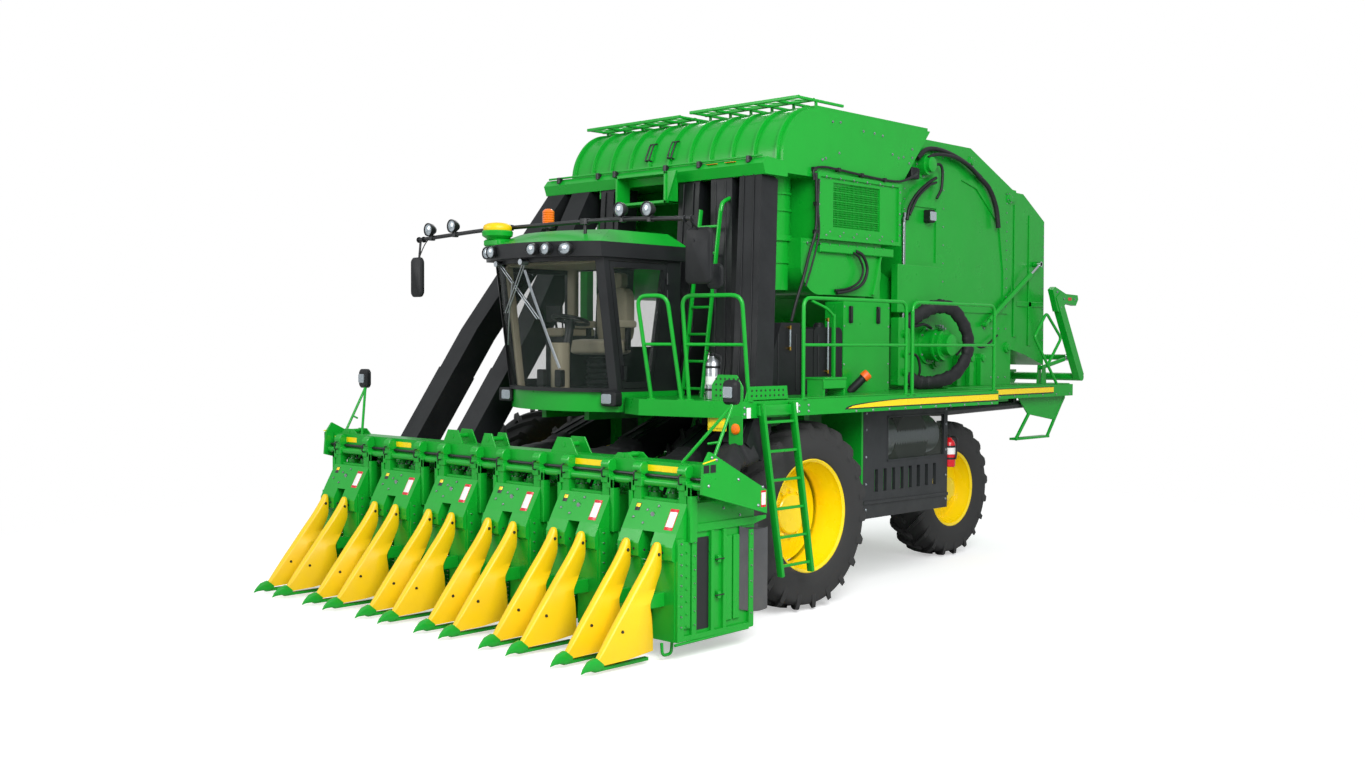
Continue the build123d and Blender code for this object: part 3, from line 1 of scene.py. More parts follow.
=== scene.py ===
"""Visual model of a self-propelled cotton picker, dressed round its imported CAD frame.

Every size is in metres. Sub-assemblies are laid out with y = 0 at the front axle, as the CAD source is, and
Stock.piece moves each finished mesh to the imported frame, whose y = 0 is at mid-length.
"""

import json
import logging
import math
from dataclasses import dataclass, field
from enum import Enum
from itertools import product

import bpy
import numpy as np
from mathutils import Matrix

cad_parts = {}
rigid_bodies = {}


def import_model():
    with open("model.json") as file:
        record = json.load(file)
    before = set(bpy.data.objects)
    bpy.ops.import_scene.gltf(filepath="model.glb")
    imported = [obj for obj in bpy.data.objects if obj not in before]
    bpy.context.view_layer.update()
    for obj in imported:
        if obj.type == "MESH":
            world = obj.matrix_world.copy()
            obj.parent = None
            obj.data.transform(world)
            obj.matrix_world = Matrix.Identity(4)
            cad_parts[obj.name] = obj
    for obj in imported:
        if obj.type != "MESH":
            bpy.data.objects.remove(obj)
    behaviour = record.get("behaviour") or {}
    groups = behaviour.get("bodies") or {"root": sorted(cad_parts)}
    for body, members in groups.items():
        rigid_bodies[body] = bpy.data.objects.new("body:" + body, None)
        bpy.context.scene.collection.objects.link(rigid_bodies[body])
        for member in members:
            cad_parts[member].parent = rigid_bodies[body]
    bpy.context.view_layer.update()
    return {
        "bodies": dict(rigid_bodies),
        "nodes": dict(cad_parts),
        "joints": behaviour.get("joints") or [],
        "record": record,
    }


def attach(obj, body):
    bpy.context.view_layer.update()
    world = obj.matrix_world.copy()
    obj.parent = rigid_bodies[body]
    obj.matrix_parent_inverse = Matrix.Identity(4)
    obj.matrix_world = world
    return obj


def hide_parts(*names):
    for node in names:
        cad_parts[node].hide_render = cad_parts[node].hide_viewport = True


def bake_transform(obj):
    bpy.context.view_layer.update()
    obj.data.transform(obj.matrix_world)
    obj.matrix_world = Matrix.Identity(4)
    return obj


LOG = logging.getLogger("cotton_picker")
AXLE_Y = -1.765
MM = 0.001
TAU = 2 * math.pi


class Side(Enum):
    """The two sides of the machine; the value is the sign of x."""

    LEFT = 1
    RIGHT = -1


class Facing(Enum):
    """The axis that a flat outline's thickness runs along; the value is that axis's index."""

    X = 0
    Y = 1
    Z = 2


X, Y, Z = Facing


# ---- Shader nodes and finishes ----------------------------------------------------------------
Socket = bpy.types.NodeSocket


def linear(colour: str) -> tuple[float, float, float, float]:
    """Turn an sRGB hex colour into the linear red, green, blue and full alpha that shaders take."""
    srgb = [int(colour[i:i + 2], 16) / 255 for i in (1, 3, 5)]
    return (*(c / 12.92 if c <= 0.04045 else ((c + 0.055) / 1.055) ** 2.4 for c in srgb), 1.0)


class Nodes:
    """The node tree of a material or world, while it is laid out."""

    def __init__(self, owner: bpy.types.ID) -> None:
        """Turn the owner's nodes on and clear them."""
        owner.use_nodes = True
        self.tree = owner.node_tree
        self.tree.nodes.clear()

    def add(self, kind: str, inputs: dict | None = None, out: int | str = 0,
            **settings: object) -> Socket | None:
        """Add one node with its settings, values and links.

        Args:
            kind: the node's type name after "ShaderNode".
            inputs: socket name or index to a value, or to an output socket to link from.
            out: name or index of the output that is wanted.
            settings: attributes of the node itself.

        Returns:
            The wanted output socket, or None where the node has no outputs.
        """
        node = self.tree.nodes.new(f"ShaderNode{kind}")
        for name, value in settings.items():
            setattr(node, name, value)
        for name, value in (inputs or {}).items():
            if isinstance(value, Socket):
                self.tree.links.new(value, node.inputs[name])
            else:
                node.inputs[name].default_value = value
        return node.outputs[out] if node.outputs else None

    def noise(self, size_mm: float, detail: float, roughness: float = 0.5) -> Socket:
        """Noise at Object coordinates, so that its size is a real one."""
        return self.add("TexNoise", {"Vector": self.place(), "Scale": 1 / (size_mm * MM), "Detail": detail,
                                     "Roughness": roughness})

    def place(self) -> Socket:
        """Object coordinates."""
        return self.add("TexCoord", out="Object")

    def bump(self, height: Socket, depth_mm: float, strength: float = 1.0) -> Socket:
        """A normal raised by the height, whose value of 1 stands for the depth."""
        return self.add("Bump", {"Height": height, "Distance": depth_mm * MM, "Strength": strength})


@dataclass(frozen=True)
class Finish:
    """A surface finish: a base colour with soft patches of a second tone, and a fine relief."""

    name: str
    slot: str
    colour: str
    tone: str
    roughness: float
    metallic: float = 0.0
    ior: float = 1.5
    coat: float = 0.0
    patch_mm: float = 350.0
    tone_share: float = 0.35
    grain_mm: float = 6.0
    grain_depth_mm: float = 0.15
    dust: float = 0.0
    sheen: float = 0.0

    def material(self) -> bpy.types.Material:
        """Build the finish, or give back the one already built.

        Returns:
            The material, with its node tree complete.
        """
        made = bpy.data.materials.get(self.name)
        if made is None:
            made = bpy.data.materials.new(self.name)
            nodes = Nodes(made)
            nodes.add("OutputMaterial", {"Surface": self.shader(nodes)})
        return made

    def shader(self, nodes: Nodes) -> Socket:
        """Lay out the finish's own shader.

        Args:
            nodes: the node tree.

        Returns:
            The shader.
        """
        return nodes.add("BsdfPrincipled", {
            "Base Color": self.patches(nodes), "Roughness": self.rough(nodes), "Metallic": self.metallic,
            "IOR": self.ior, "Coat Weight": self.coat, "Coat Roughness": 0.06, "Sheen Weight": self.sheen,
            "Normal": self.relief(nodes)})

    def patches(self, nodes: Nodes) -> Socket:
        """Mix the base colour with its second tone in soft patches, and with dust low down.

        Args:
            nodes: the node tree.

        Returns:
            The colour.
        """
        share = nodes.add("MapRange", {"Value": nodes.noise(self.patch_mm, 6.0, 0.6), "From Min": 0.42,
                                       "From Max": 0.72, "To Max": self.tone_share})
        colour = nodes.add("Mix", {"Factor": share, "A": linear(self.colour), "B": linear(self.tone)},
                           "Result", data_type="RGBA")
        if self.dust:
            height = nodes.add("SeparateXYZ", {0: nodes.place()}, "Z")
            low = nodes.add("MapRange",
                            {"Value": height, "From Min": 0.0, "From Max": 1.3, "To Min": self.dust,
                             "To Max": 0.0})
            speck = nodes.add("TexNoise", {"Vector": nodes.place(), "Scale": 9.0, "Detail": 8.0})
            cover = nodes.add("Math", {0: low, 1: speck}, operation="MULTIPLY")
            colour = nodes.add("Mix", {"Factor": cover, "A": colour, "B": linear("#8f8571")}, "Result",
                               data_type="RGBA")
        return colour

    def rough(self, nodes: Nodes) -> Socket:
        """Vary the roughness a little, as handling and polish do.

        Args:
            nodes: the node tree.

        Returns:
            The roughness.
        """
        noise = nodes.add("TexNoise", {"Vector": nodes.place(), "Scale": 4.0, "Detail": 5.0})
        return nodes.add("MapRange", {
            "Value": noise, "From Min": 0.3, "From Max": 0.7, "To Min": self.roughness * 0.82,
            "To Max": min(1.0, self.roughness * 1.2)})

    def relief(self, nodes: Nodes) -> Socket:
        """The normal, raised by the fine grain of the surface."""
        return nodes.bump(nodes.noise(self.grain_mm, 3.0), self.grain_depth_mm)


@dataclass(frozen=True)
class Weave(Finish):
    """Woven cloth: two crossed sets of threads, drawn coarser than real ones so that they show."""

    thread_mm: float = 7.0

    def relief(self, nodes: Nodes) -> Socket:
        """Raise warp and weft.

        Args:
            nodes: the node tree.

        Returns:
            The normal.
        """
        warp, weft = (nodes.add(
            "TexWave", {"Vector": nodes.place(), "Scale": 0.16 / (self.thread_mm * MM)}, 1,
            bands_direction=axis) for axis in ("X", "Z"))
        return nodes.bump(nodes.add("Math", {0: warp, 1: weft}, operation="MULTIPLY"), 0.8, 0.7)


@dataclass(frozen=True)
class Clear(Finish):
    """Glass or clear plastic: a thin tint over a share of what lies behind, under a polished surface."""

    cover: float = 0.3

    def shader(self, nodes: Nodes) -> Socket:
        """A see-through tint under a polished surface."""
        return nodes.add("BsdfPrincipled", {"Base Color": self.patches(nodes), "Roughness": self.roughness,
                                            "IOR": self.ior, "Alpha": self.cover})


@dataclass(frozen=True)
class Tread(Finish):
    """Expanded-metal walkway: rows of diamond openings pressed in painted sheet."""

    pitch_mm: float = 60.0

    def relief(self, nodes: Nodes) -> Socket:
        """Press rows of diamonds into the sheet.

        Args:
            nodes: the node tree.

        Returns:
            The normal.
        """
        cells = nodes.add("TexVoronoi", {"Vector": nodes.place(), "Scale": 1 / (self.pitch_mm * MM)},
                          distance="MANHATTAN")
        edge = nodes.add("MapRange", {"Value": cells, "From Min": 0.25, "From Max": 0.4})
        return nodes.bump(edge, 6.0)


# Sprayed alkyd enamel on steel sheet: even and glossy, faint orange peel, a little dust low down.
GREEN = Finish("green_enamel", "green_paint", "#0ca22b", "#0a9526", 0.32, ior=1.42, coat=0.12, grain_mm=9,
               grain_depth_mm=0.12, dust=0.03)
YELLOW = Finish("yellow_enamel", "yellow_paint", "#ffde00", "#f8d200", 0.28, coat=0.3, grain_mm=9,
                grain_depth_mm=0.1, dust=0.05)
BLACK = Finish("black_enamel", "black_paint", "#16181a", "#202325", 0.42, coat=0.1, grain_mm=5,
               grain_depth_mm=0.12)
RED = Finish("red_enamel", "red_paint", "#d5101f", "#b80c1a", 0.25, coat=0.4)
# Powder-coated guard sheet: satin charcoal with a fine pebble.
GUARD = Finish("charcoal_powder_coat", "black_paint", "#272a2c", "#313436", 0.55, grain_mm=3,
               grain_depth_mm=0.2, dust=0.12)
# Rotomoulded polyethylene: soft sheen, slightly wavy faces.
YELLOW_PE = Finish("yellow_polyethylene", "yellow_plastic", "#f6cb00", "#e9b800", 0.42, ior=1.51,
                   patch_mm=500, grain_mm=25, grain_depth_mm=0.5, dust=0.08)
BLACK_PE = Finish("black_polyethylene", "black_plastic", "#121416", "#1c1f22", 0.5, ior=1.45, grain_mm=14,
                  grain_depth_mm=0.35)
# Tyre rubber: dull carbon black, moulded grain, dust in the tread.
RUBBER = Finish("tyre_rubber", "tyre_rubber", "#0c0d0e", "#151617", 0.78, ior=1.3, patch_mm=160, grain_mm=7,
                grain_depth_mm=0.5, dust=0.03)
HOSE = Finish("hose_rubber", "black_plastic", "#131416", "#202224", 0.55, grain_mm=5, grain_depth_mm=0.3)
# Rubberised fabric: flaps and boots.
FLAP = Finish("rubberised_fabric", "black_plastic", "#4a4c4f", "#3b3d40", 0.75, patch_mm=220, tone_share=0.6,
              grain_mm=4, grain_depth_mm=0.4, dust=0.2)
CHROME = Finish("hard_chromed_steel", "chromed_steel", "#d5d8dc", "#b9bdc2", 0.12, metallic=1.0,
                grain_depth_mm=0.01)
ZINC = Finish("zinc_plated_steel", "chromed_steel", "#aab0b4", "#868c90", 0.36, metallic=1.0, patch_mm=20,
              grain_mm=2, grain_depth_mm=0.05)
ALUMINIUM = Finish("brushed_aluminium", "chromed_steel", "#c9ccd0", "#9fa3a8", 0.3, metallic=1.0,
                   grain_mm=1.5, grain_depth_mm=0.05)
CAST = Finish("painted_cast_iron", "engine_iron", "#1d7a2c", "#145a20", 0.5, grain_mm=4, grain_depth_mm=0.6)
AMBER = Finish("amber_acrylic", "beacon_amber", "#ff7a0a", "#e05c00", 0.15, coat=0.5, grain_depth_mm=0.02)
REFLECTOR = Finish("lamp_reflector", "lamp_white", "#bcc6cc", "#93a0a8", 0.12, metallic=0.6, coat=1.0,
                   patch_mm=18, grain_mm=9, grain_depth_mm=1.2)
WHITE_SIGN = Finish("white_vinyl", "lamp_white", "#f1f1ee", "#dedede", 0.4, grain_depth_mm=0.02)
TRIM = Finish("beige_abs", "black_plastic", "#a39b83", "#8c846e", 0.6, grain_mm=3, grain_depth_mm=0.2)
CLOTH = Weave("seat_cloth", "seat_fabric", "#a59f88", "#8f8973", 0.9, sheen=0.3, patch_mm=60)
DECK = Tread("deck_tread", "green_paint", "#0a9a26", "#088a21", 0.4, coat=0.2, dust=0.1)
# Cab glass: a grey-green tint that keeps the seat and controls in view.
GLASS = Clear("tinted_glass", "cab_glass", "#2c3a33", "#25312b", 0.03, cover=0.15)
WINDOW = Clear("clear_polycarbonate", "cab_glass", "#3a4238", "#2f362e", 0.05, ior=1.58, cover=0.28)
# Braided nylon sleeve over hose bundles, and soft boots: matt black with a fine cross weave.
FLAP_BLACK = Weave("nylon_sleeve", "black_plastic", "#17181a", "#232527", 0.7, thread_mm=12.0, patch_mm=120)
BRASS = Finish("brass", "chromed_steel", "#c9a24a", "#a8853a", 0.25, metallic=1.0, patch_mm=15, grain_mm=2,
               grain_depth_mm=0.04)
ORANGE = Finish("orange_polypropylene", "beacon_amber", "#ff6a1a", "#e85a10", 0.4, ior=1.49, patch_mm=40,
                grain_depth_mm=0.1)


# ---- Surfaces worked out as arrays -----------------------------------------------------------
def circle(radius: float, sides: int, start: float = 0.0) -> np.ndarray:
    """Points (r cos a, r sin a), (sides, 2), at even steps of the angle a from the start."""
    angle = start + np.arange(sides) * TAU / sides
    return radius * np.stack([np.cos(angle), np.sin(angle)], axis=1)


def rounded_box(width: float, depth: float, radius: float, per_corner: int = 4) -> np.ndarray:
    """A rectangle with rounded corners: each corner's centre plus a quarter circle of the radius.

    Args:
        width: size along the first axis.
        depth: size along the second axis.
        radius: corner radius.
        per_corner: points on each corner.

    Returns:
        Array (4 * per_corner, 2), anticlockwise.
    """
    angle = (np.arange(4)[:, None] + np.linspace(0, 1, per_corner)[None, :]) * math.pi / 2
    signs = np.array([[1, 1], [-1, 1], [-1, -1], [1, -1]])[:, None, :]
    middle = signs * np.array([width / 2 - radius, depth / 2 - radius])
    return (middle + radius * np.stack([np.cos(angle), np.sin(angle)], axis=2)).reshape(-1, 2)


def smooth(points: list | np.ndarray, count: int) -> np.ndarray:
    """A Catmull-Rom curve: each stretch blends its four nearest points by cubic weights.

    Args:
        points: the points passed through, (n, d).
        count: how many points to give back.

    Returns:
        Array (count, d), from the first point to the last.
    """
    given = np.asarray(points, float)
    padded = np.vstack([2 * given[0] - given[1], given, 2 * given[-1] - given[-2]])
    at = np.linspace(0, len(given) - 1, count)
    seg = np.minimum(at.astype(int), len(given) - 2)
    t = (at - seg)[:, None]
    p0, p1, p2, p3 = (padded[seg + i] for i in range(4))
    return 0.5 * (2 * p1 + (p2 - p0) * t + (2 * p0 - 5 * p1 + 4 * p2 - p3) * t ** 2
                  + (3 * p1 - p0 - 3 * p2 + p3) * t ** 3)


def carry(profile: np.ndarray, path: list | np.ndarray, up: tuple | None = (0, 0, 1)) -> np.ndarray:
    """Carry a profile along a path, square to the path's direction.

    The ring at each station is path + first * side + second * lift, where side is direction x up and
    lift is side x direction. With no up, side only turns as far as the path's own bends turn it.

    Args:
        profile: (k, 2), or (m, k, 2) for one profile per station.
        path: points, (m, 3).
        up: what counts as up for the profile's second axis, or None.

    Returns:
        Rings (m, k, 3).
    """
    path = np.asarray(path, float)
    way = np.gradient(path, axis=0)
    way /= np.linalg.norm(way, axis=1, keepdims=True)
    if up is None:
        last = np.cross(way[0], (0, 0, 1) if abs(way[0][2]) < 0.9 else (0, 1, 0))
        side = np.empty_like(way)
        for n, step in enumerate(way):
            last = last - step * (last @ step)
            last = last / np.linalg.norm(last)
            side[n] = last
    else:
        side = np.cross(way, np.asarray(up, float))
        short = np.linalg.norm(side, axis=1) < 1e-6
        side[short] = np.cross(way[short], (0.0, 1.0, 0.02))
        side /= np.linalg.norm(side, axis=1, keepdims=True)
    lift = np.cross(side, way)
    flat = np.broadcast_to(profile, (len(path), *np.shape(profile)[-2:]))
    return path[:, None, :] + flat[..., :1] * side[:, None, :] + flat[..., 1:] * lift[:, None, :]


def tube(points: list | np.ndarray, radius: float, sides: int = 12, bend: int = 0) -> np.ndarray:
    """A circle carried along the points, which are smoothed into bend stations where bend is given."""
    return carry(circle(radius, sides), smooth(points, bend) if bend else points, None)


def beam(start: tuple, end: tuple, width: float, depth: float, radius: float = 0.004) -> np.ndarray:
    """A straight bar: a rounded rectangle, width across and depth upwards, carried from start to end."""
    return carry(rounded_box(width, depth, radius, 3), [start, end])


def stand(outline: np.ndarray, facing: Facing, offset: np.ndarray | float) -> np.ndarray:
    """Stand a flat outline in space: its two axes are the other two axes, in order, after facing's.

    Args:
        outline: (..., k, 2).
        facing: the axis square to the outline.
        offset: the place along that axis.

    Returns:
        Array (..., k, 3).
    """
    flat = np.asarray(outline, float)
    height = np.broadcast_to(offset, flat.shape[:-1])[..., None]
    parts = {X: (height, flat[..., :1], flat[..., 1:]), Y: (flat[..., :1], height, flat[..., 1:]),
             Z: (flat[..., :1], flat[..., 1:], height)}[facing]
    return np.concatenate(parts, axis=-1)


def slab(outline: list | np.ndarray, facing: Facing, low: float, high: float,
         edge: float = 0.003) -> np.ndarray:
    """A plate with eased edges: its outline at both faces drawn in by the edge, and full just inside.

    Args:
        outline: (k, 2) corners.
        facing: the axis that its thickness runs along.
        low: one face.
        high: the other face.
        edge: how far the edges are eased.

    Returns:
        Rings (4, k, 3).
    """
    flat = np.asarray(outline, float)
    before, after = np.roll(flat, 1, axis=0) - flat, np.roll(flat, -1, axis=0) - flat
    before /= np.linalg.norm(before, axis=1, keepdims=True) + 1e-9
    after /= np.linalg.norm(after, axis=1, keepdims=True) + 1e-9
    turn = after[:, 0] * before[:, 1] - after[:, 1] * before[:, 0]
    follow = np.roll(flat, -1, axis=0)
    spin = np.sign(np.sum(flat[:, 0] * follow[:, 1] - flat[:, 1] * follow[:, 0]))
    inward = spin * np.stack([before[:, 1] - after[:, 1], after[:, 0] - before[:, 0]], axis=1)
    inward /= np.linalg.norm(inward, axis=1, keepdims=True) + 1e-9
    drawn = flat + inward * edge / np.maximum(0.45, np.sqrt(np.abs(turn) / 2 + 0.5))[:, None]
    stack = np.stack([drawn, flat, flat, drawn])
    levels = np.array([low, low + edge, high - edge, high])[:, None]
    return stand(stack, facing, levels)


def turned(profile: list | np.ndarray, centre: tuple, facing: Facing, sides: int) -> np.ndarray:
    """Turn an (along, radius) profile about the facing axis: each point goes round its own circle."""
    along, radius = np.asarray(profile, float).T[:, :, None]
    return stand(circle(1.0, sides) * radius[..., None], facing, along) + np.asarray(centre, float)


BOLT_HEAD = ((-0.2, 1.5), (0.25, 1.5), (0.25, 1.0), (0.85, 1.0), (1.0, 0.8), (1.0, 0.0))


def bolts(centres: list | np.ndarray, facing: Facing, radius: float, height: float) -> np.ndarray:
    """Hexagon heads on washers at the centres; a negative height makes them stand the other way."""
    one = turned(np.multiply(BOLT_HEAD, (height, radius)), (0, 0, 0), facing, 6)
    return np.asarray(centres, float)[:, None, None, :] + one


def bolt_circle(ring: float, count: int, centre: tuple, x: float, radius: float, height: float,
                start: float = 0.0) -> np.ndarray:
    """Bolt heads evenly round a circle on the face at x; centre is the circle's (y, z)."""
    return bolts(stand(circle(ring, count, start) + np.array(centre), X, x), X, radius, height)


def rounded(points: list | np.ndarray, radius: float, per_corner: int = 6) -> np.ndarray:
    """Straight runs with rounded corners: each corner P becomes (1-t)^2 A + 2(1-t)t P + t^2 B.

    A and B lie on the two runs, the radius away from P.

    Args:
        points: the corners and the two ends, (n, 3).
        radius: how far from its corner each bend starts.
        per_corner: points on each bend.

    Returns:
        Array (m, 3).
    """
    given = np.asarray(points, float)
    t = np.linspace(0, 1, per_corner)[:, None]
    path = [given[:1]]
    for before, corner, after in zip(given[:-2], given[1:-1], given[2:]):
        ends = []
        for other in (before, after):
            way = other - corner
            length = np.linalg.norm(way)
            ends.append(corner + way * min(radius, 0.45 * length) / length)
        path.append((1 - t) ** 2 * ends[0] + 2 * (1 - t) * t * corner + t ** 2 * ends[1])
    path.append(given[-1:])
    return np.vstack(path)


def bent(points: list | np.ndarray, radius: float, corner: float = 0.1, sides: int = 14) -> np.ndarray:
    """A round tube along straight runs whose bends start the corner's distance from each point."""
    return tube(rounded(points, corner), radius, sides)


def brick(x: tuple, y: tuple, z: tuple, facing: Facing = Z, corner: float = 0.008,
          edge: float = 0.003) -> np.ndarray:
    """A sheet or block between the low and high values of each axis, with round corners and eased ends.

    Args:
        x: (low, high).
        y: (low, high).
        z: (low, high).
        facing: the axis that the rounded outline is pushed along.
        corner: radius of the outline's corners.
        edge: how far the end faces' edges are eased.

    Returns:
        Rings (4, k, 3).
    """
    spans = [x, y, z]
    low, high = spans.pop(facing.value)
    size = [b - a for a, b in spans]
    outline = rounded_box(*size, min(corner, 0.45 * min(size)), 5) + [(a + b) / 2 for a, b in spans]
    return slab(outline, facing, low, high, min(edge, 0.3 * (high - low)))


def about(middle: float, half: float) -> tuple[float, float]:
    """The low and high values half to each side of the middle."""
    return middle - half, middle + half


def row(start: tuple, end: tuple, count: int) -> np.ndarray:
    """Evenly spaced points from start to end, both kept."""
    return np.linspace(start, end, count)


def lamp(centre: tuple, radius: float, stretch: float = 1.0) -> tuple[np.ndarray, np.ndarray]:
    """A round or oval work lamp that looks forwards: a turned shell with a lip, and its domed lens.

    Args:
        centre: middle of the lens's rim.
        radius: radius over the lip.
        stretch: width over height.

    Returns:
        Rings of the shell and of the lens.
    """
    shell = [(0.07, 0.2), (0.065, 0.55), (0.03, 0.86), (-0.02, 1.0), (-0.03, 1.0), (-0.032, 0.9),
             (-0.012, 0.86)]
    lens = [(-0.01, 0.87), (-0.022, 0.86), (-0.034, 0.6), (-0.04, 0.3), (-0.041, 0.01)]
    made = [turned([(a, r * radius) for a, r in profile], (0, 0, 0), Y, 28) for profile in (shell, lens)]
    return tuple(rings * [stretch, 1, 1] + np.array(centre) for rings in made)


def cushion(x: tuple, y: tuple, z: tuple, square: float = 0.38) -> np.ndarray:
    """A crowned pad: each half size times the sine and cosine of two angles, raised to a small power.

    Its sides pull in by 5 % midway between the corners, as stuffed covers do.

    Args:
        x: (low, high).
        y: (low, high).
        z: (low, high).
        square: the power; the smaller it is, the squarer the pad.

    Returns:
        Rings (25, 48, 3).
    """
    lat = np.linspace(-0.499, 0.499, 25)[:, None] * math.pi
    lon = np.arange(48)[None, :] * TAU / 48

    def power(value: np.ndarray) -> np.ndarray:
        """The value's size raised to the power, with its own sign."""
        return np.sign(value) * np.abs(value) ** square

    pull = 1 - 0.05 * np.cos(2 * lon) ** 2
    unit = np.stack([power(np.cos(lat)) * power(np.cos(lon)) * pull,
                     power(np.cos(lat)) * power(np.sin(lon)) * pull,
                     np.broadcast_to(power(np.sin(lat)), (25, 48))], axis=-1)
    low, high = (np.array([span[n] for span in (x, y, z)]) for n in (0, 1))
    return (low + high) / 2 + unit * (high - low) / 2


def flip_x(rings: np.ndarray) -> np.ndarray:
    """The mirror image of a shape in x = 0; Stock.add turns its faces outwards again."""
    return np.asarray(rings) * np.array([-1.0, 1.0, 1.0])


@dataclass
class Stock:
    """Ring stacks collected into the vertices and faces of one mesh."""

    points: list = field(default_factory=list)
    faces: list = field(default_factory=list)
    count: int = 0

    def add(self, stacks: np.ndarray, closed: bool = False) -> "Stock":
        """Join each stack's neighbouring rings by quads and close its ends.

        Ring i's point j joins ring i + 1's point j and its neighbour; a solid whose signed volume comes out
        negative has its faces turned round.

        Args:
            stacks: (m, k, 3), or (c, m, k, 3) for c separate solids.
            closed: whether the last ring joins the first, as on a hoop.

        Returns:
            This stock, to add to.
        """
        stacks = np.asarray(stacks, float)
        stacks = stacks[None] if stacks.ndim == 3 else stacks
        copies, rings, sides = stacks.shape[:3]
        i = np.arange(rings if closed else rings - 1)[:, None]
        j = np.arange(sides)[None, :]
        nxt, turn = (i + 1) % rings, (j + 1) % sides
        quads = np.stack([i * sides + j, i * sides + turn, nxt * sides + turn, nxt * sides + j], axis=-1)
        quads = quads.reshape(-1, 4)
        flat = stacks.reshape(copies, -1, 3)
        a, b, c, d = (flat[:, quads[:, n]] - flat.mean(axis=1, keepdims=True) for n in range(4))
        volume = (np.einsum("nfi,nfi->n", a, np.cross(b, c)) + np.einsum("nfi,nfi->n", a, np.cross(c, d)))
        for copy in range(copies):
            base = self.count + copy * rings * sides
            step = 1 if volume[copy] > 0 else -1
            self.faces += (quads[:, ::step] + base).tolist()
            if not closed:
                ends = [list(range(sides - 1, -1, -1)), list(range((rings - 1) * sides, rings * sides))]
                self.faces += [[base + n for n in end[::step]] for end in ends]
        self.points.append(flat.reshape(-1, 3))
        self.count += copies * rings * sides
        return self

    def add_both(self, stacks: np.ndarray) -> "Stock":
        """Add a left-hand shape and its mirror image in x = 0."""
        return self.add(stacks).add(flip_x(stacks))

    def piece(self, name: str, finish: Finish, body: str = "chassis", *, replaces: tuple[str, ...] = (),
              angle: float = 32.0, bends: tuple | None = None) -> bpy.types.Object:
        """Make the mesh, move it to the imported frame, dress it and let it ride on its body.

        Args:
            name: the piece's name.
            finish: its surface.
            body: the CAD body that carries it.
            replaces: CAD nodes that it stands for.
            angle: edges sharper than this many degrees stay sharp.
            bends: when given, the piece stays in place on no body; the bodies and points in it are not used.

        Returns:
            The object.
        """
        mesh = bpy.data.meshes.new(name)
        points = np.concatenate(self.points) + np.array([0.0, AXLE_Y, 0.0])
        mesh.from_pydata(points.tolist(), [], self.faces)
        mesh.validate()
        mesh.shade_smooth()
        mesh.set_sharp_from_angle(angle=math.radians(angle))
        made = bpy.data.objects.new(name, mesh)
        bpy.context.collection.objects.link(made)
        made.data.materials.append(finish.material())
        if bends:
            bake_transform(made)
        else:
            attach(made, body)
        if replaces:
            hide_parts(*replaces)
        LOG.info("%s has %d faces", name, len(mesh.polygons))
        return made


# ---- Sub-assemblies --------------------------------------------------------------------------
class Assembly:
    """A sub-assembly that is built part by part."""

    parts: tuple[str, ...] = ()

    def build(self) -> None:
        """Call each part's method in turn."""
        for part in self.parts:
            getattr(self, part)()


ROWS_X = (np.arange(6) - 2.5) * 0.965


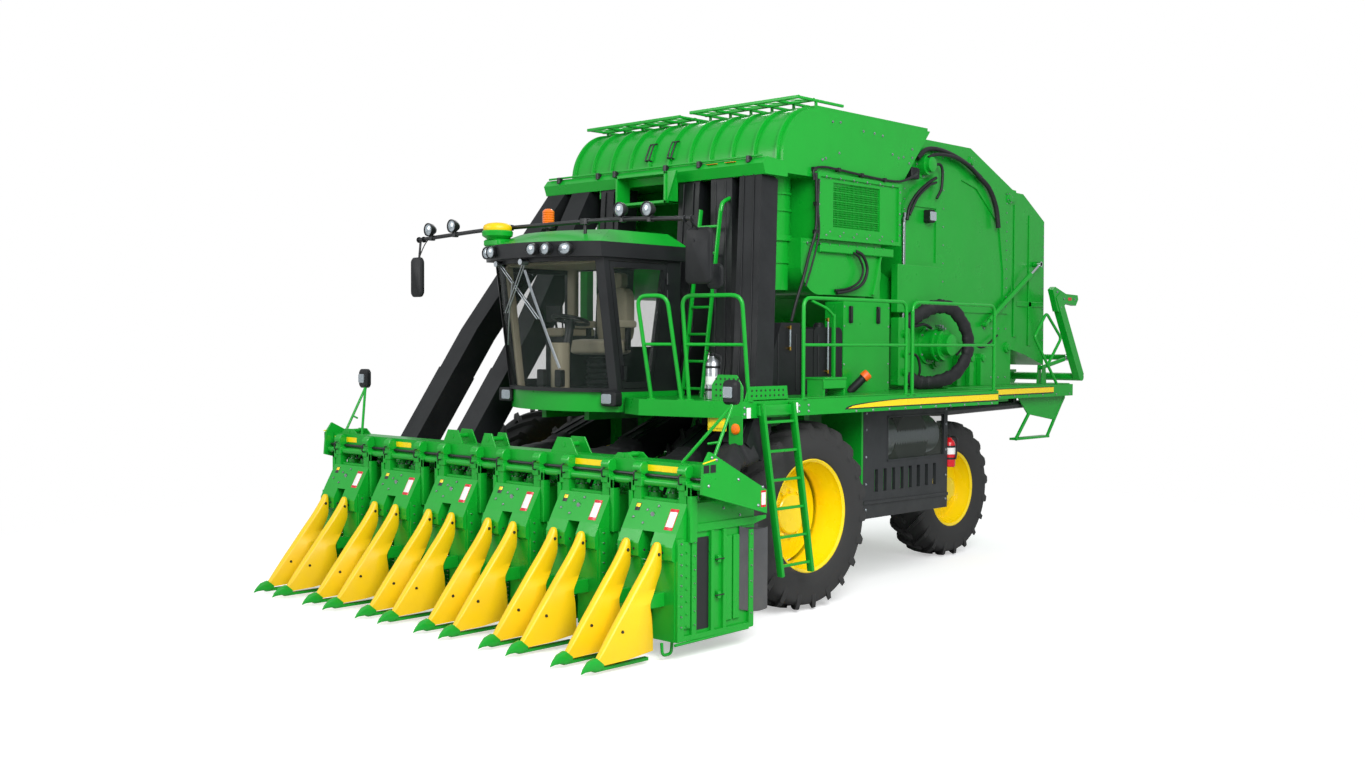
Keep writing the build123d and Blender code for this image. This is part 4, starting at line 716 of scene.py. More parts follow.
@dataclass
class Wheel:
    """A lugged tyre on a dished rim, at the middle plane x, about the axle's (y, z)."""

    x: float
    radius: float
    rim: float
    bars: int
    centre: tuple[float, float]
    half: float = 0.26
    lug_height: float = 0.045

    def carcass(self) -> np.ndarray:
        """The tyre without its lugs: a bulged cross-section turned about the axle.

        Returns:
            Rings (m, sides, 3) of a closed hoop.
        """
        half, rim, crown = self.half, self.rim, self.radius - self.lug_height
        outer = smooth([(0.78 * half, rim), (0.86 * half, rim + 0.022), (0.93 * half, rim + 0.05),
                        (half, rim + 0.13), (half, crown - 0.17), (0.97 * half, crown - 0.09),
                        (0.9 * half, crown - 0.035), (0.7 * half, crown - 0.012), (0.35 * half, crown)], 26)
        seat = [(-0.7 * half, rim - 0.004), (0.7 * half, rim - 0.004)]
        return turned(np.vstack([outer, (outer * [-1, 1])[::-1], seat]), (self.x, *self.centre), X, 96)

    def lugs(self) -> np.ndarray:
        """The tread bars: each runs from the middle out over the shoulder, swept back at 45 degrees.

        The table gives each station's share of the sweep, its distance from the middle, the depths of the
        bar's top and foot below the tread's radius, and its half width; its section is a trapezium.

        Returns:
            Ring stacks (2 * bars, 7, 4, 3).
        """
        share, axial, top, foot, wide = np.array(
            [(0.0, -0.012, 0.004, 0.058, 0.026), (0.12, 0.02, 0.0, 0.058, 0.032),
             (0.4, 0.095, 0.0, 0.06, 0.034), (0.7, 0.18, 0.006, 0.066, 0.036),
             (0.88, 0.232, 0.02, 0.095, 0.038), (0.97, 0.255, 0.075, 0.16, 0.036),
             (1.0, 0.2615, 0.125, 0.175, 0.028)]).T
        stacks = []
        for side, lag in ((1, 0.0), (-1, 0.5)):
            start = (np.arange(self.bars) + lag) * TAU / self.bars
            angle = start[:, None] + 0.27 * share ** 1.15
            rings = []
            for spread, depth in ((1.25, foot), (0.8, top), (-0.8, top), (-1.25, foot)):
                turn, level = angle + spread * wide / self.radius, self.radius - depth
                rings.append(np.stack(
                    [np.broadcast_to(self.x + side * axial, turn.shape),
                     self.centre[0] + level * np.sin(turn), self.centre[1] + level * np.cos(turn)], axis=-1))
            stacks.append(np.stack(rings, axis=2))
        return np.concatenate(stacks)

    def rim_rings(self, dish: float, face: float, hub: float, reach: float) -> list[np.ndarray]:
        """A rim: its flanged barrel with a drop centre, and its dished disc with a raised hub.

        Args:
            dish: x of the disc at the barrel.
            face: x of the disc at the hub.
            hub: hub radius.
            reach: how far the hub stands out of the face.

        Returns:
            Rings of the barrel, a closed hoop, and of the disc.
        """
        half, wall, rim = self.half * 0.8, 0.012, self.rim
        outer = np.array([(-half - 0.012, rim + 0.028), (-half, rim), (-half + 0.06, rim - 0.006),
                          (-0.07, rim - 0.05), (0.07, rim - 0.05), (half - 0.06, rim - 0.006), (half, rim),
                          (half + 0.012, rim + 0.028)])
        inner = (outer - [0, wall])[::-1]
        inner[[0, -1]] += [[0.006, -0.004], [-0.006, -0.004]]
        barrel = turned(np.vstack([outer, inner]), (self.x, *self.centre), X, 72)
        low, out = rim - 0.058, face + reach
        front = smooth([(dish, low), (dish + 0.006, low - 0.05), (face - 0.02, hub + 0.11),
                        (face, hub + 0.05)], 14)
        disc = [*front, (face, hub), (out - 0.012, hub), (out, hub - 0.012), (out, 0.001),
                (dish - wall, 0.001), (dish - wall, low)]
        return [barrel, turned(disc, (0, *self.centre), X, 72)]


@dataclass
class Wheels:
    """Duals in front on one hub, and single steered wheels behind."""

    front: tuple[float, float, int, tuple] = (0.975, 0.565, 22, (0.0, 0.975))
    rear: tuple[float, float, int, tuple] = (0.872, 0.465, 20, (4.17, 0.872))

    def build(self) -> None:
        """Build and dress all the wheels."""
        duals, single = [Wheel(x, *self.front) for x in (0.965, 1.93)], Wheel(0.985, *self.rear)
        for side in Side:
            name = side.name.lower()
            turn = flip_x if side is Side.RIGHT else np.asarray
            for wheels, tread, tyre in (
                    (duals, "front_treads", "front_tyres"), ([single], "rear_tread", "rear_tyre")):
                tyres = Stock()
                for wheel in wheels:
                    tyres.add(turn(wheel.carcass()), closed=True).add(turn(wheel.lugs()))
                tyres.piece(f"{tread}_{name}", RUBBER, f"{tread.split('_')[0]}_wheel_{name}",
                            replaces=(f"{tyre}_{name}",))
            rims = Stock()
            for wheel, dish, reach in ((duals[0], 1.025, 0.03), (duals[1], 1.79, 0.05)):
                barrel, disc = wheel.rim_rings(dish, dish + 0.07, 0.21, reach)
                rims.add(turn(barrel), closed=True).add(turn(disc))
            for inner, outer, radius in ((0.7, 1.03, 0.19), (1.1, 1.8, 0.23)):
                rims.add(turn(turned([(inner, radius), (outer, radius)], (0, *duals[0].centre), X, 40)))
            rims.piece(f"front_discs_{name}", YELLOW, f"front_wheel_{name}",
                       replaces=(f"front_rims_{name}",), angle=40)
            barrel, disc = single.rim_rings(1.005, 1.065, 0.15, 0.09)
            rims = Stock().add(turn(barrel), closed=True).add(turn(disc))
            rims.piece(f"rear_disc_{name}", YELLOW, f"rear_wheel_{name}", replaces=(f"rear_rim_{name}",),
                       angle=40)
            for axle, ring, count, wheel, x in (
                    ("front", 0.245, 12, duals[0], 1.858), ("rear", 0.185, 10, single, 1.063)):
                nuts = turn(bolt_circle(ring, count, wheel.centre, x, 0.019, 0.03))
                Stock().add(nuts).piece(f"{axle}_nuts_{name}", YELLOW, f"{axle}_wheel_{name}")


@dataclass
class Header(Assembly):
    """The six row units on their toolbar, with stalk lifters, shields and the bar's fittings."""

    parts = ("lifters", "plates", "bar", "tops", "spindles", "ends", "stands", "fasteners")
    lifter_x: float = 0.19
    unit_half: float = 0.335
    end_x: float = 2.95
    side_x: float = 2.7475

    def lifter(self, x: float) -> np.ndarray:
        """A moulded stalk lifter, as horizontal slices from its foot to its rounded top.

        Each slice has a round nose at the spine and runs back to a wider rear; the table's levels are joined
        by a smooth curve, so the low flared body narrows into the upper blade.

        Args:
            x: the lifter's middle plane.

        Returns:
            Rings (44, 18, 3).
        """
        table = np.array([  # height, nose y, rear y, nose half width, rear half width
            (0.07, -3.475, -2.845, 0.022, 0.096), (0.2, -3.37, -2.85, 0.036, 0.1),
            (0.4, -3.215, -2.862, 0.041, 0.098), (0.52, -3.12, -2.87, 0.043, 0.088),
            (0.6, -3.055, -2.8, 0.043, 0.056), (0.68, -2.99, -2.752, 0.043, 0.046),
            (0.8, -2.89, -2.696, 0.043, 0.044), (0.9, -2.815, -2.692, 0.043, 0.044),
            (0.975, -2.765, -2.692, 0.04, 0.042), (1.015, -2.742, -2.694, 0.028, 0.032),
            (1.03, -2.734, -2.698, 0.01, 0.012)])
        rows = smooth(table, 44)
        height, nose, rear, slim, wide = (rows[:, n, None] for n in range(5))
        bend = np.linspace(0, math.pi, 11)[None, :]
        arc_x, arc_y = -slim * np.cos(bend), nose + slim - slim * np.sin(bend)
        corner = 0.012
        side_x = np.hstack([wide, wide, wide - corner, -(wide - corner), -wide, -wide, -(slim + wide) / 2])
        side_y = np.hstack([(nose + rear) / 2, rear - corner, rear, rear, rear - corner, (nose + rear) / 2,
                            (nose * 0.75 + rear * 0.25)])
        ring_x, ring_y = np.hstack([arc_x, side_x]) + x, np.hstack([arc_y, side_y])
        rise = np.clip((ring_y + 3.475) / 0.63, 0, 1) * 0.06 * np.clip(1 - (height - 0.07) / 0.4, 0, 1)
        return np.stack([ring_x, ring_y, height + rise], axis=-1)

    def shoe(self, x: float) -> list[np.ndarray]:
        """A lifter's steel shoe: a sharp turned-up toe cap, a flat runner and the block above its heel.

        Args:
            x: the lifter's middle plane.

        Returns:
            Ring stacks of the toe, the runner and the block.
        """
        path = [(x, -3.598, 0.034), (x, -3.56, 0.06), (x, -3.5, 0.085), (x, -3.44, 0.088), (x, -3.38, 0.075)]
        size = np.array([(0.002, 0.002), (0.016, 0.018), (0.034, 0.04), (0.046, 0.056), (0.046, 0.018)])
        shape = rounded_box(2.0, 2.0, 0.5, 3)[None] * size[:, None, :]
        toe = carry(shape, path)
        toe[..., 2] = np.maximum(toe[..., 2], 0.03)
        return [toe, beam((x, -3.46, 0.046), (x, -2.84, 0.046), 0.05, 0.03),
                brick(about(x, 0.03), (-2.83, -2.65), (0.47, 0.59), X, 0.008)]

    def hood(self, x: float, z: float, out: float = 0.0) -> tuple:
        """A point on a hood's sloping face at height z, moved out of it by the given distance."""
        return (x, -2.628 + (z - 1.1) * 0.544 - 0.878 * out, z + 0.478 * out)

    def plates(self) -> None:
        """Bare warning plates, and the hoods' and toolbar's reflector strips."""
        red, white, yellow, black = (Stock() for _ in range(4))
        for stock, dx, low, high, out, wide in (
                (red, 0.22, 1.125, 1.3, 0.001, 0.1), (white, 0.22, 1.15, 1.275, 0.002, 0.086),
                (black, -0.23, 1.255, 1.32, 0.001, 0.06), (yellow, -0.23, 1.285, 1.315, 0.002, 0.05)):
            for x in ROWS_X + dx:
                stock.add(beam(self.hood(x, low, out), self.hood(x, high, out), wide, 0.002, 0.0008))
        for x in (-2.66, -1.62, 1.435, 2.38):
            yellow.add(brick(about(x, 0.22), (-2.4125, -2.408), (1.6, 1.655), Y, 0.003, 0.001))
        end = self.end_x
        for stock, low, y, z in (
                (red, 0, (-1.745, -1.675), (1.28, 1.43)), (white, 0.001, (-1.738, -1.682), (1.3, 1.41)),
                (black, 0, about(-2.47, 0.036), (1.63, 1.7)), (black, 0, about(-2.385, 0.036), (1.63, 1.7))):
            stock.add_both(brick((end + low, end + low + 0.0015), y, z, X, 0.003, 0.0005))
        yellow.add_both(beam(
            (end + 0.0008, -2.515, 1.715), (end + 0.0008, -2.345, 1.745), 0.002, 0.012, 0.0008))
        for stock, name, finish in ((red, "sign_borders", RED), (white, "sign_faces", WHITE_SIGN),
                                    (yellow, "reflector_strips", YELLOW), (black, "small_plates", BLACK)):
            stock.piece(name, finish, "header")

    def bar(self) -> None:
        """The rock shaft along the toolbar's front, hanger clamps and legs, and the tower plates."""
        green, black = Stock(), Stock()
        green.add(tube([(-2.93, -2.452, 1.505), (2.93, -2.452, 1.505)], 0.033, 16))
        black.add(tube([(-2.93, -2.43, 1.565), (2.93, -2.43, 1.565)], 0.014, 10))
        cap = [(-0.052, 0.052), (-0.046, 0.06), (0.046, 0.06), (0.052, 0.052)]
        for row_x in ROWS_X:
            for side in (-1, 1):
                x = row_x + side * 0.275
                green.add(turned(cap, (x, -2.452, 1.625), X, 20))
                green.add(brick(about(x, 0.062), (-2.5, -2.4), (1.46, 1.55), Y, 0.02, 0.006))
                for inner, z in ((0.337, (1.02, 1.5)), (0.3, (1.42, 1.52))):
                    leg = tuple(sorted((row_x + side * inner, row_x + side * 0.385)))
                    green.add(brick(leg, (-2.5, -2.41), z, Z, 0.01))
                black.add(bent([(x, -2.5, 1.6), (x, -2.54, 1.6), (x, -2.54, 1.52), (x, -2.5, 1.52)], 0.007,
                               0.02))
        for x, wide, tall in (
                (-2.62, 0.16, 0.06), (-0.69, 0.17, 0.14), (-0.11, 0.12, 0.13), (1.04, 0.19, 0.15),
                (1.85, 0.14, 0.05)):
            top = 1.69 + tall
            for y in (-2.395, -2.215):
                green.add(slab([(x - wide, 1.688), (x - 0.5 * wide, top), (x + 0.5 * wide, top),
                                (x + wide, 1.688)], Y, y, y + 0.014))
            green.add(tube([(x, y, 1.69 + 0.55 * tall) for y in (-2.4, -2.19)], 0.024))
        green.piece("rock_shaft", GREEN, "header")
        black.piece("shaft_clamps", BLACK, "header")

    def tops(self) -> None:
        """What stands on each unit: gear housings, covers and oil hoses."""
        metal, rubber, heads = Stock(), Stock(), Stock()
        cover = [(-0.01, 0.105), (0.03, 0.105), (0.03, 0.085), (0.05, 0.08), (0.055, 0.03)]
        tall = [(-0.01, 0.07), (0.06, 0.065), (0.065, 0.04), (0.1, 0.035), (0.105, 0.01)]
        for x in ROWS_X:
            for dx, y, profile, ring, z in (
                    (-0.15, -2.02, cover, 0.085, 1.38), (0.15, -2.02, cover, 0.085, 1.38),
                    (0.0, -2.3, tall, 0.05, 1.41), (-0.2, -2.34, tall, 0.05, 1.41),
                    (0.19, -2.32, cover, 0.085, 1.38)):
                metal.add(turned(profile, (x + dx, y, 1.35), Z, 24))
                heads.add(bolts(stand(circle(ring, 6) + [x + dx, y], Z, z), Z, 0.009, 0.01))
            metal.add(brick(about(x, 0.31), (-2.47, -2.42), (1.348, 1.375), Z, 0.01))
            metal.add(brick((x - 0.06, x + 0.1), (-2.2, -2.08), (1.35, 1.43), Z, 0.02, 0.008))
            if x > 0:
                metal.add_both(turned(tall, (x + 0.27, -1.8, 1.35), Z, 20))
            for k, (start, lift) in enumerate(((x - 0.16, 0.22), (x - 0.06, 0.17), (x + 0.08, 0.2))):
                path = [(start - 0.1, -2.28, 1.38), (start - 0.07, -2.2, 1.38 + lift),
                        (start + 0.06, -2.12, 1.38 + lift), (start + 0.12, -2.02 + 0.04 * k, 1.4)]
                rubber.add(tube(path, 0.02 - 0.004 * k, 10, 26))
        metal.piece("unit_gear_housings", GREEN, "header")
        rubber.piece("unit_hoses", HOSE, "header")
        heads.piece("housing_bolts", ZINC, "header")

    def spindles(self) -> None:
        """Rows of picking spindles that reach into each plant passage from both sides."""
        pins = Stock()
        taper = [(0.0, 0.0075), (0.012, 0.0075), (0.055, 0.005), (0.062, 0.001)]
        for x, y, z, side in product(ROWS_X, (-2.6, -2.48, -2.36), np.linspace(0.24, 0.84, 16), (-1, 1)):
            pins.add(turned([(side * -a, r) for a, r in taper], (x + side * 0.076, y, z), X, 6))
        pins.piece("spindles", CHROME, "header")

    def ends(self) -> None:
        """Both end units' outer sides: painted shade in the door slot, hinges, ribbed doors, rubber flap and
        skid strap.
        """
        x = self.side_x
        green, dark, flap = Stock(), Stock(), Stock()
        # A thin black sheet flush with the side: painted shade standing for the open door slot.
        dark.add_both(brick((x - 0.002, x + 0.004), (-2.395, -2.215), (0.24, 1.05), X, 0.006, 0.001))
        for y in ((-2.555, -2.465), (-2.005, -1.92), (-1.9, -1.82)):
            green.add_both(brick((x, x + 0.022), y, (0.27, 1.03), X, 0.01, 0.008))
        for y, z in product(np.linspace(-2.6, -2.44, 3), np.linspace(0.34, 0.98, 7)):
            green.add_both(brick((x, x + 0.034), about(y, 0.01), (z - 0.05, z - 0.035), X, 0.003))
        for z in (0.52, 0.84):
            dark.add_both(tube([(x + 0.04, -2.17, z), (x + 0.04, -2.05, z)], 0.006))
            green.add_both(brick((x + 0.01, x + 0.042), (-2.13, -2.09), about(z, 0.03), X, 0.006))
        green.add_both(tube([(x + 0.02, -2.66, 0.15), (x + 0.02, -1.7, 0.165)], 0.013))
        green.add_both(bent([
            (x - 0.1, y, z) for y, z in ((-2.7, 0.16), (-2.69, 0.05), (-2.58, 0.05), (-2.57, 0.16))], 0.014,
                            0.04))
        green.add_both(slab([(-1.64, 1.1), (-1.45, 1.14), (-1.45, 1.17), (-2.45, 1.17), (-2.45, 1.1)], X, x,
                            x + 0.02))
        s = np.linspace(0, 1, 12)
        out, y = x + 0.012 + 0.03 * s * s, -1.82 + 0.36 * s
        sheet = np.stack([np.stack([out + 0.005, y, z + 0.03 * np.sin(y * 9)], axis=1)
                          for z in np.linspace(1.08, 0.33, 14)])
        flap.add_both(np.concatenate([sheet, (sheet - [0.006, 0, 0])[:, ::-1]], axis=1))
        green.piece("end_doors", GREEN, "header")
        # The painted slot shade, with the black hinge pins.
        dark.piece("end_slots", BLACK, "header")
        flap.piece("end_flaps", FLAP, "header")

    def stands(self) -> None:
        """The two tube stands with their lamps in rounded housings."""
        tubes, shells, lenses = Stock(), Stock(), Stock()
        for side in (-1, 1):
            x = 2.85 * side
            for foot in (x, x - 0.35 * side):
                tubes.add(bent([(foot, -2.3, 1.68), (x, -2.02, 2.2), (x, -1.985, 2.32)], 0.015, 0.06))
            tubes.add(tube([(x - 0.12 * side, -2.21, 1.86), (x, -2.19, 1.88)], 0.011))
            middle = x - 0.025
            shells.add(brick(about(middle, 0.085), (-2.05, -1.965), (2.2, 2.42), Y, 0.05, 0.02))
            lenses.add(brick((middle - 0.06, middle + 0.045), (-2.064, -2.048), (2.26, 2.36), Y, 0.012,
                             0.004))
        tubes.piece("stand_tubes", GREEN, "header", replaces=("header_lamps",))
        shells.piece("stand_shells", BLACK_PE, "header")
        lenses.piece("stand_lenses", REFLECTOR, "header")

    def fasteners(self) -> None:
        """Bolt heads on lifters, hoods, end plates and the ends' posts."""
        heads, dark = Stock(), Stock()
        for row_x in ROWS_X:
            for dx, z in ((-0.1, 1.27), (0.02, 1.31), (-0.24, 1.2), (-0.1, 1.16)):
                heads.add(bolts([self.hood(row_x + dx, z)], Y, 0.009, -0.012))
            heads.add(turned([(-0.01, 0.022), (0.0, 0.022)], self.hood(row_x - 0.02, 1.24), Y, 20))
            dark.add(bolts([(row_x + dx, -2.68, 0.94) for dx in (-0.2, -0.13, 0.0, 0.14, 0.22)], Y, 0.008,
                           -0.008))
            for side in (-1, 1):
                x, lifter_x = row_x + side * self.unit_half, row_x + side * self.lifter_x
                heads.add(bolts(row((x, -2.6, 0.3), (x, -2.6, 1.02), 9), X, 0.008, side * 0.045))
                heads.add(bolts(row((x, -2.43, 0.3), (x, -2.43, 1.02), 7), X, 0.007, side * 0.042))
                heads.add(bolts([(x, -2.02, 1.28), (x, -1.8, 1.2), (x, -2.4, 1.26)], X, 0.009, side * 0.01))
                for out in (-1, 1):
                    dark.add(bolts([(lifter_x + out * 0.058, -3.18, 0.33),
                                    (lifter_x + out * 0.044, -2.735, 0.93)], X, 0.011, out * 0.012))
        for y, z in ((-2.4, 1.76), (-2.34, 1.74), (-2.44, 1.52), (-2.05, 1.55), (-1.78, 1.3), (-1.72, 1.46)):
            heads.add_both(bolts([(self.end_x, y, z)], X, 0.011, 0.01))
        heads.add_both(bolts(row((self.side_x, -1.67, 0.3), (self.side_x, -1.67, 1.02), 6), X, 0.009, 0.04))
        heads.piece("header_bolts", ZINC, "header")
        dark.piece("lifter_bolts", BLACK, "header")

    def lifters(self) -> None:
        """All the stalk lifters and their shoes."""
        lifters, shoes = Stock(), Stock()
        for row_x in ROWS_X:
            for x in (row_x - self.lifter_x, row_x + self.lifter_x):
                lifters.add(self.lifter(x))
                for part in self.shoe(x):
                    shoes.add(part)
        lifters.piece("lifter_shells", YELLOW_PE, "header", replaces=("stalk_lifters",), angle=50)
        shoes.piece("lifter_toes", GREEN, "header", replaces=("lifter_shoes",))


@dataclass
class Cab(Assembly):
    """The cab's fittings: seat and controls, wipers, lamps, beacons, lamp bar and mirrors."""

    parts = ("wipers", "lamps", "base_lamps", "beacons", "bar", "mirrors", "seat", "controls")
    floor: float = 2.24
    top: float = 3.6
    half: float = 0.85
    bar_z: float = 3.96
    bar_y: float = -1.72

    def windshield(self, x: float, z: float) -> float:
        """y of the windshield: bowed by x squared, and leaning forwards by 0.15 of the height."""
        return -1.8 - 0.15 * (z - self.floor) + 0.3 * (x / self.half) ** 2

    def wipers(self) -> None:
        """Two parallel-arm wipers, parked across each other from pivots under the visor."""
        arms = Stock()
        for pivot, end, end_z, tip, tip_z in (
                (-0.5, 0.16, 2.98, 0.32, 2.48), (0.02, -0.4, 3.05, -0.56, 2.72)):
            start = (pivot, self.windshield(pivot, 3.56) - 0.03, 3.56)
            wrist = (end, self.windshield(end, end_z) - 0.06, end_z)
            for shift in (-0.02, 0.02):
                arms.add(tube([np.add(start, (shift, 0, 0)), np.add(wrist, (shift, 0, 0))], 0.007))
            arms.add(turned([(-0.06, 0.03), (0.03, 0.035)], start, Y, 16))
            blade = [(x, self.windshield(x, z) - 0.02, z)
                     for x, z in row((2 * end - tip, 2 * end_z - tip_z), (tip, tip_z), 7)]
            arms.add(carry(rounded_box(0.012, 0.028, 0.004, 3), blade))
        arms.piece("wiper_arms", ZINC)

    def lamps(self) -> None:
        """The visor's oval lamps and the round ones on the bar, with their clips."""
        shells, lenses = Stock(), Stock()
        for x, stretch in ((-0.58, 1.0), (-0.44, 1.0), (0.26, 1.15), (0.42, 1.15), (0.62, 1.5)):
            y = -2.11 + 0.33 * (x / (self.half + 0.055)) ** 2 - 0.045
            shell, lens = lamp((x, y, self.top + 0.075), 0.066, stretch)
            shells.add(shell)
            lenses.add(lens)
        for x in (-1.9, -1.5, 1.15, 1.55):
            drop = 0.06 * (abs(x) - 1.0) / 1.15
            y, z = self.bar_y - drop, self.bar_z - drop
            shell, lens = lamp((x, y - 0.03, z + 0.09), 0.075)
            shells.add(shell).add(tube([(x, y, z), (x, y, z + 0.03)], 0.018))
            shells.add(brick(about(x, 0.025), about(y, 0.03), about(z, 0.03), corner=0.006))
            lenses.add(lens)
        shells.piece("lamp_shells", BLACK, replaces=("work_lamps",))
        lenses.piece("lamp_lenses", REFLECTOR)

    def base_lamps(self) -> None:
        """The two rectangular lamps at the front corners of the cab's base."""
        shell = brick((0.7, 0.92), (-1.6, -1.5), (2.1, 2.25), Y, 0.03, 0.008)
        Stock().add_both(shell).piece("base_lamp_shells", BLACK_PE)
        lens = brick((0.72, 0.86), (-1.612, -1.598), (2.125, 2.225), Y, 0.02, 0.004)
        Stock().add_both(lens).piece("base_lamp_lenses", REFLECTOR)

    def beacons(self) -> None:
        """The positioning dome on its painted base, and the amber beacon on its stalk."""
        z = self.top + 0.27
        dome_at, beacon_at = (-0.57, -1.9, z + 0.01), (-0.56, -1.2, z + 0.09)
        shelf = Stock().add(brick((-0.7, -0.43), (-2.0, -1.78), (z - 0.12, z - 0.045), Z, 0.04, 0.015))
        shelf.add(beam((-0.565, -1.8, z - 0.08), (-0.565, -1.5, z - 0.1), 0.16, 0.05)).piece("dome_shelf",
                                                                                             GREEN)
        dome = [(0.035, 0.145), (0.05, 0.15), (0.075, 0.15), (0.095, 0.138), (0.112, 0.105), (0.12, 0.055),
                (0.122, 0.002)]
        Stock().add(turned(dome, dome_at, Z, 40)).piece("positioning_dome", YELLOW_PE,
                                                        replaces=("roof_beacons",))
        base = [(-0.06, 0.1), (-0.02, 0.16), (0.02, 0.165), (0.035, 0.155)]
        Stock().add(turned(base, dome_at, Z, 40)).piece("dome_base", GREEN)
        stalk = [(-0.15, 0.025), (0.015, 0.025), (0.02, 0.075), (0.045, 0.075)]
        Stock().add(turned(stalk, beacon_at, Z, 24)).piece("beacon_stalk", BLACK_PE)
        ribs = [(h, 0.068 - 0.006 * (n % 2)) for n, h in enumerate(np.linspace(0.05, 0.2, 13))]
        lens = [(0.045, 0.07), *ribs, (0.215, 0.06), (0.235, 0.036), (0.24, 0.002)]
        Stock().add(turned(lens, beacon_at, Z, 32)).piece("beacon_lens", AMBER)

    def bar(self) -> None:
        """The lamp bar: a bent tube on two posts, with U-bolt clamps and the mirror cables."""
        y, z, low_y, low_z = self.bar_y, self.bar_z, self.bar_y - 0.06, self.bar_z - 0.06
        bar = Stock().add(bent(
            [(-2.15, low_y, low_z), (-1.0, y, z), (1.0, y, z), (2.15, low_y, low_z)], 0.022, 0.3))
        for x in (-0.6, 0.6):
            bar.add(tube([(x, y, self.top + 0.2), (x, y, z)], 0.018))
            bar.add(brick(about(x, 0.05), about(y, 0.03), about(z, 0.03)))
        for x, shift in product((-2.08, 2.08), (-0.045, 0.045)):
            bar.add(turned([(-0.006, 0.034), (0.006, 0.034)], (x + shift, low_y, low_z), X, 16))
        bar.piece("lamp_bar_tube", BLACK, replaces=("lamp_bar",))
        cables = Stock()
        for x0, x1, mid_y, low in ((-1.9, -2.1, -1.8, 3.62), (1.9, 2.03, -1.62, 3.7)):
            cables.add(tube([(x0, y - 0.05, z - 0.02), ((x0 + x1) / 2, mid_y, 3.83),
                             (x1, mid_y - 0.03, low)], 0.006, 8, 18))
        cables.piece("mirror_cables", HOSE)

    def mirrors(self) -> None:
        """Three mirrors: rounded shells with a glass let into the side that the driver sees."""
        shells, glasses, arms = Stock(), Stock(), Stock()
        for x, y, z, low, high in (
                ((1.9, 2.23), (-1.645, -1.59), (3.3, 3.83), (2.065, -1.62, 3.8), (2.08, -1.775, 3.91)),
                ((-2.23, -2.01), (-1.835, -1.78), (3.25, 3.7), (-2.1, -1.8, 3.66), (-2.1, -1.775, 3.91)),
                ((1.96, 2.16), (-1.405, -1.36), (3.26, 3.5), (2.06, -1.381, 3.28), (2.06, -1.381, 3.2))):
            shells.add(brick(x, y, z, Y, 0.06, 0.018))
            wide, tall = ((a + 0.018, b - 0.018) for a, b in (x, z))
            glasses.add(brick(wide, (y[1] - 0.006, y[1] + 0.002), tall, Y, 0.045, 0.002))
            arms.add(tube([low, high], 0.013))
        shells.piece("mirror_shells", BLACK_PE, replaces=("mirrors",), angle=40)
        glasses.piece("mirror_glasses", CHROME)
        arms.piece("mirror_arms", BLACK)

    def seat(self) -> None:
        """The suspension seat: crowned cushions on a bellows pedestal."""
        f = self.floor
        pads = Stock()
        for x, y, low, high in (
                ((-0.27, 0.27), (-1.2, -0.68), 0.37, 0.54), ((-0.25, 0.25), (-0.8, -0.64), 0.5, 1.1),
                ((-0.15, 0.15), (-0.78, -0.66), 1.09, 1.26), ((0.27, 0.35), (-1.08, -0.72), 0.66, 0.74),
                ((-0.35, -0.27), (-1.08, -0.72), 0.66, 0.74)):
            pads.add(cushion(x, y, (f + low, f + high)))
        made = pads.piece("seat_pads", CLOTH, replaces=("cab_furniture",), angle=70)
        fine = made.modifiers.new("smooth", "SUBSURF")
        fine.levels = fine.render_levels = 1
        folds = [(0.01 + 0.03 * n, 0.17 - 0.03 * (n % 2)) for n in range(12)]
        base = Stock().add(turned(folds, (0, -0.93, f), Z, 28))
        base.add_both(brick((0.29, 0.33), (-0.86, -0.8), (f + 0.42, f + 0.68)))
        base.add(tube([(0, -0.72, f + 1.02), (0, -0.72, f + 1.16)], 0.02)).piece("seat_base", BLACK_PE)

    def controls(self) -> None:
        """Steering wheel, consoles, armrest controls, monitor, pillar trim and mat."""
        f = self.floor
        black, trim = Stock(), Stock()
        tilt = math.radians(14)
        ring = circle(0.19, 40)
        rim = np.stack([ring[:, 0], ring[:, 1] * math.cos(tilt) - 1.38,
                        f + 0.745 - ring[:, 1] * math.sin(tilt)], axis=1)
        black.add(carry(circle(0.015, 10), rim), closed=True)
        for turn in (0.5, 2.6, 4.7):
            end = (0.18 * math.cos(turn), -1.38 + 0.18 * math.sin(turn), f + 0.745 - 0.045 * math.sin(turn))
            black.add(beam((0, -1.38, f + 0.735), end, 0.035, 0.015))
        black.add(turned([(-0.08, 0.05), (0.02, 0.045), (0.03, 0.02)], (0, -1.38, f + 0.73), Z, 24))
        black.add(brick((-0.6, -0.36), (-1.2, -1.16), (f + 0.72, f + 0.9), Y, 0.02, 0.006))
        black.add(tube([(-0.48, -1.14, f + 0.62), (-0.48, -1.17, f + 0.76)], 0.014))
        for x, y in ((-0.42, -1.02), (-0.52, -1.02), (-0.42, -0.9)):
            black.add(tube([(x, y, f + 0.64), (x, y - 0.01, f + 0.73)], 0.009))
            black.add(cushion(about(x, 0.02), (y - 0.03, y + 0.01), (f + 0.72, f + 0.78), 0.7))
        black.add(brick((-0.72, 0.72), (-1.66, -0.7), (f + 0.002, f + 0.016), Z, 0.05))
        for x in (-0.14, 0.14):
            black.add(brick(about(x, 0.05), (-1.68, -1.62), (f + 0.04, f + 0.22), Y, 0.02))
        black.piece("cab_controls", BLACK_PE)
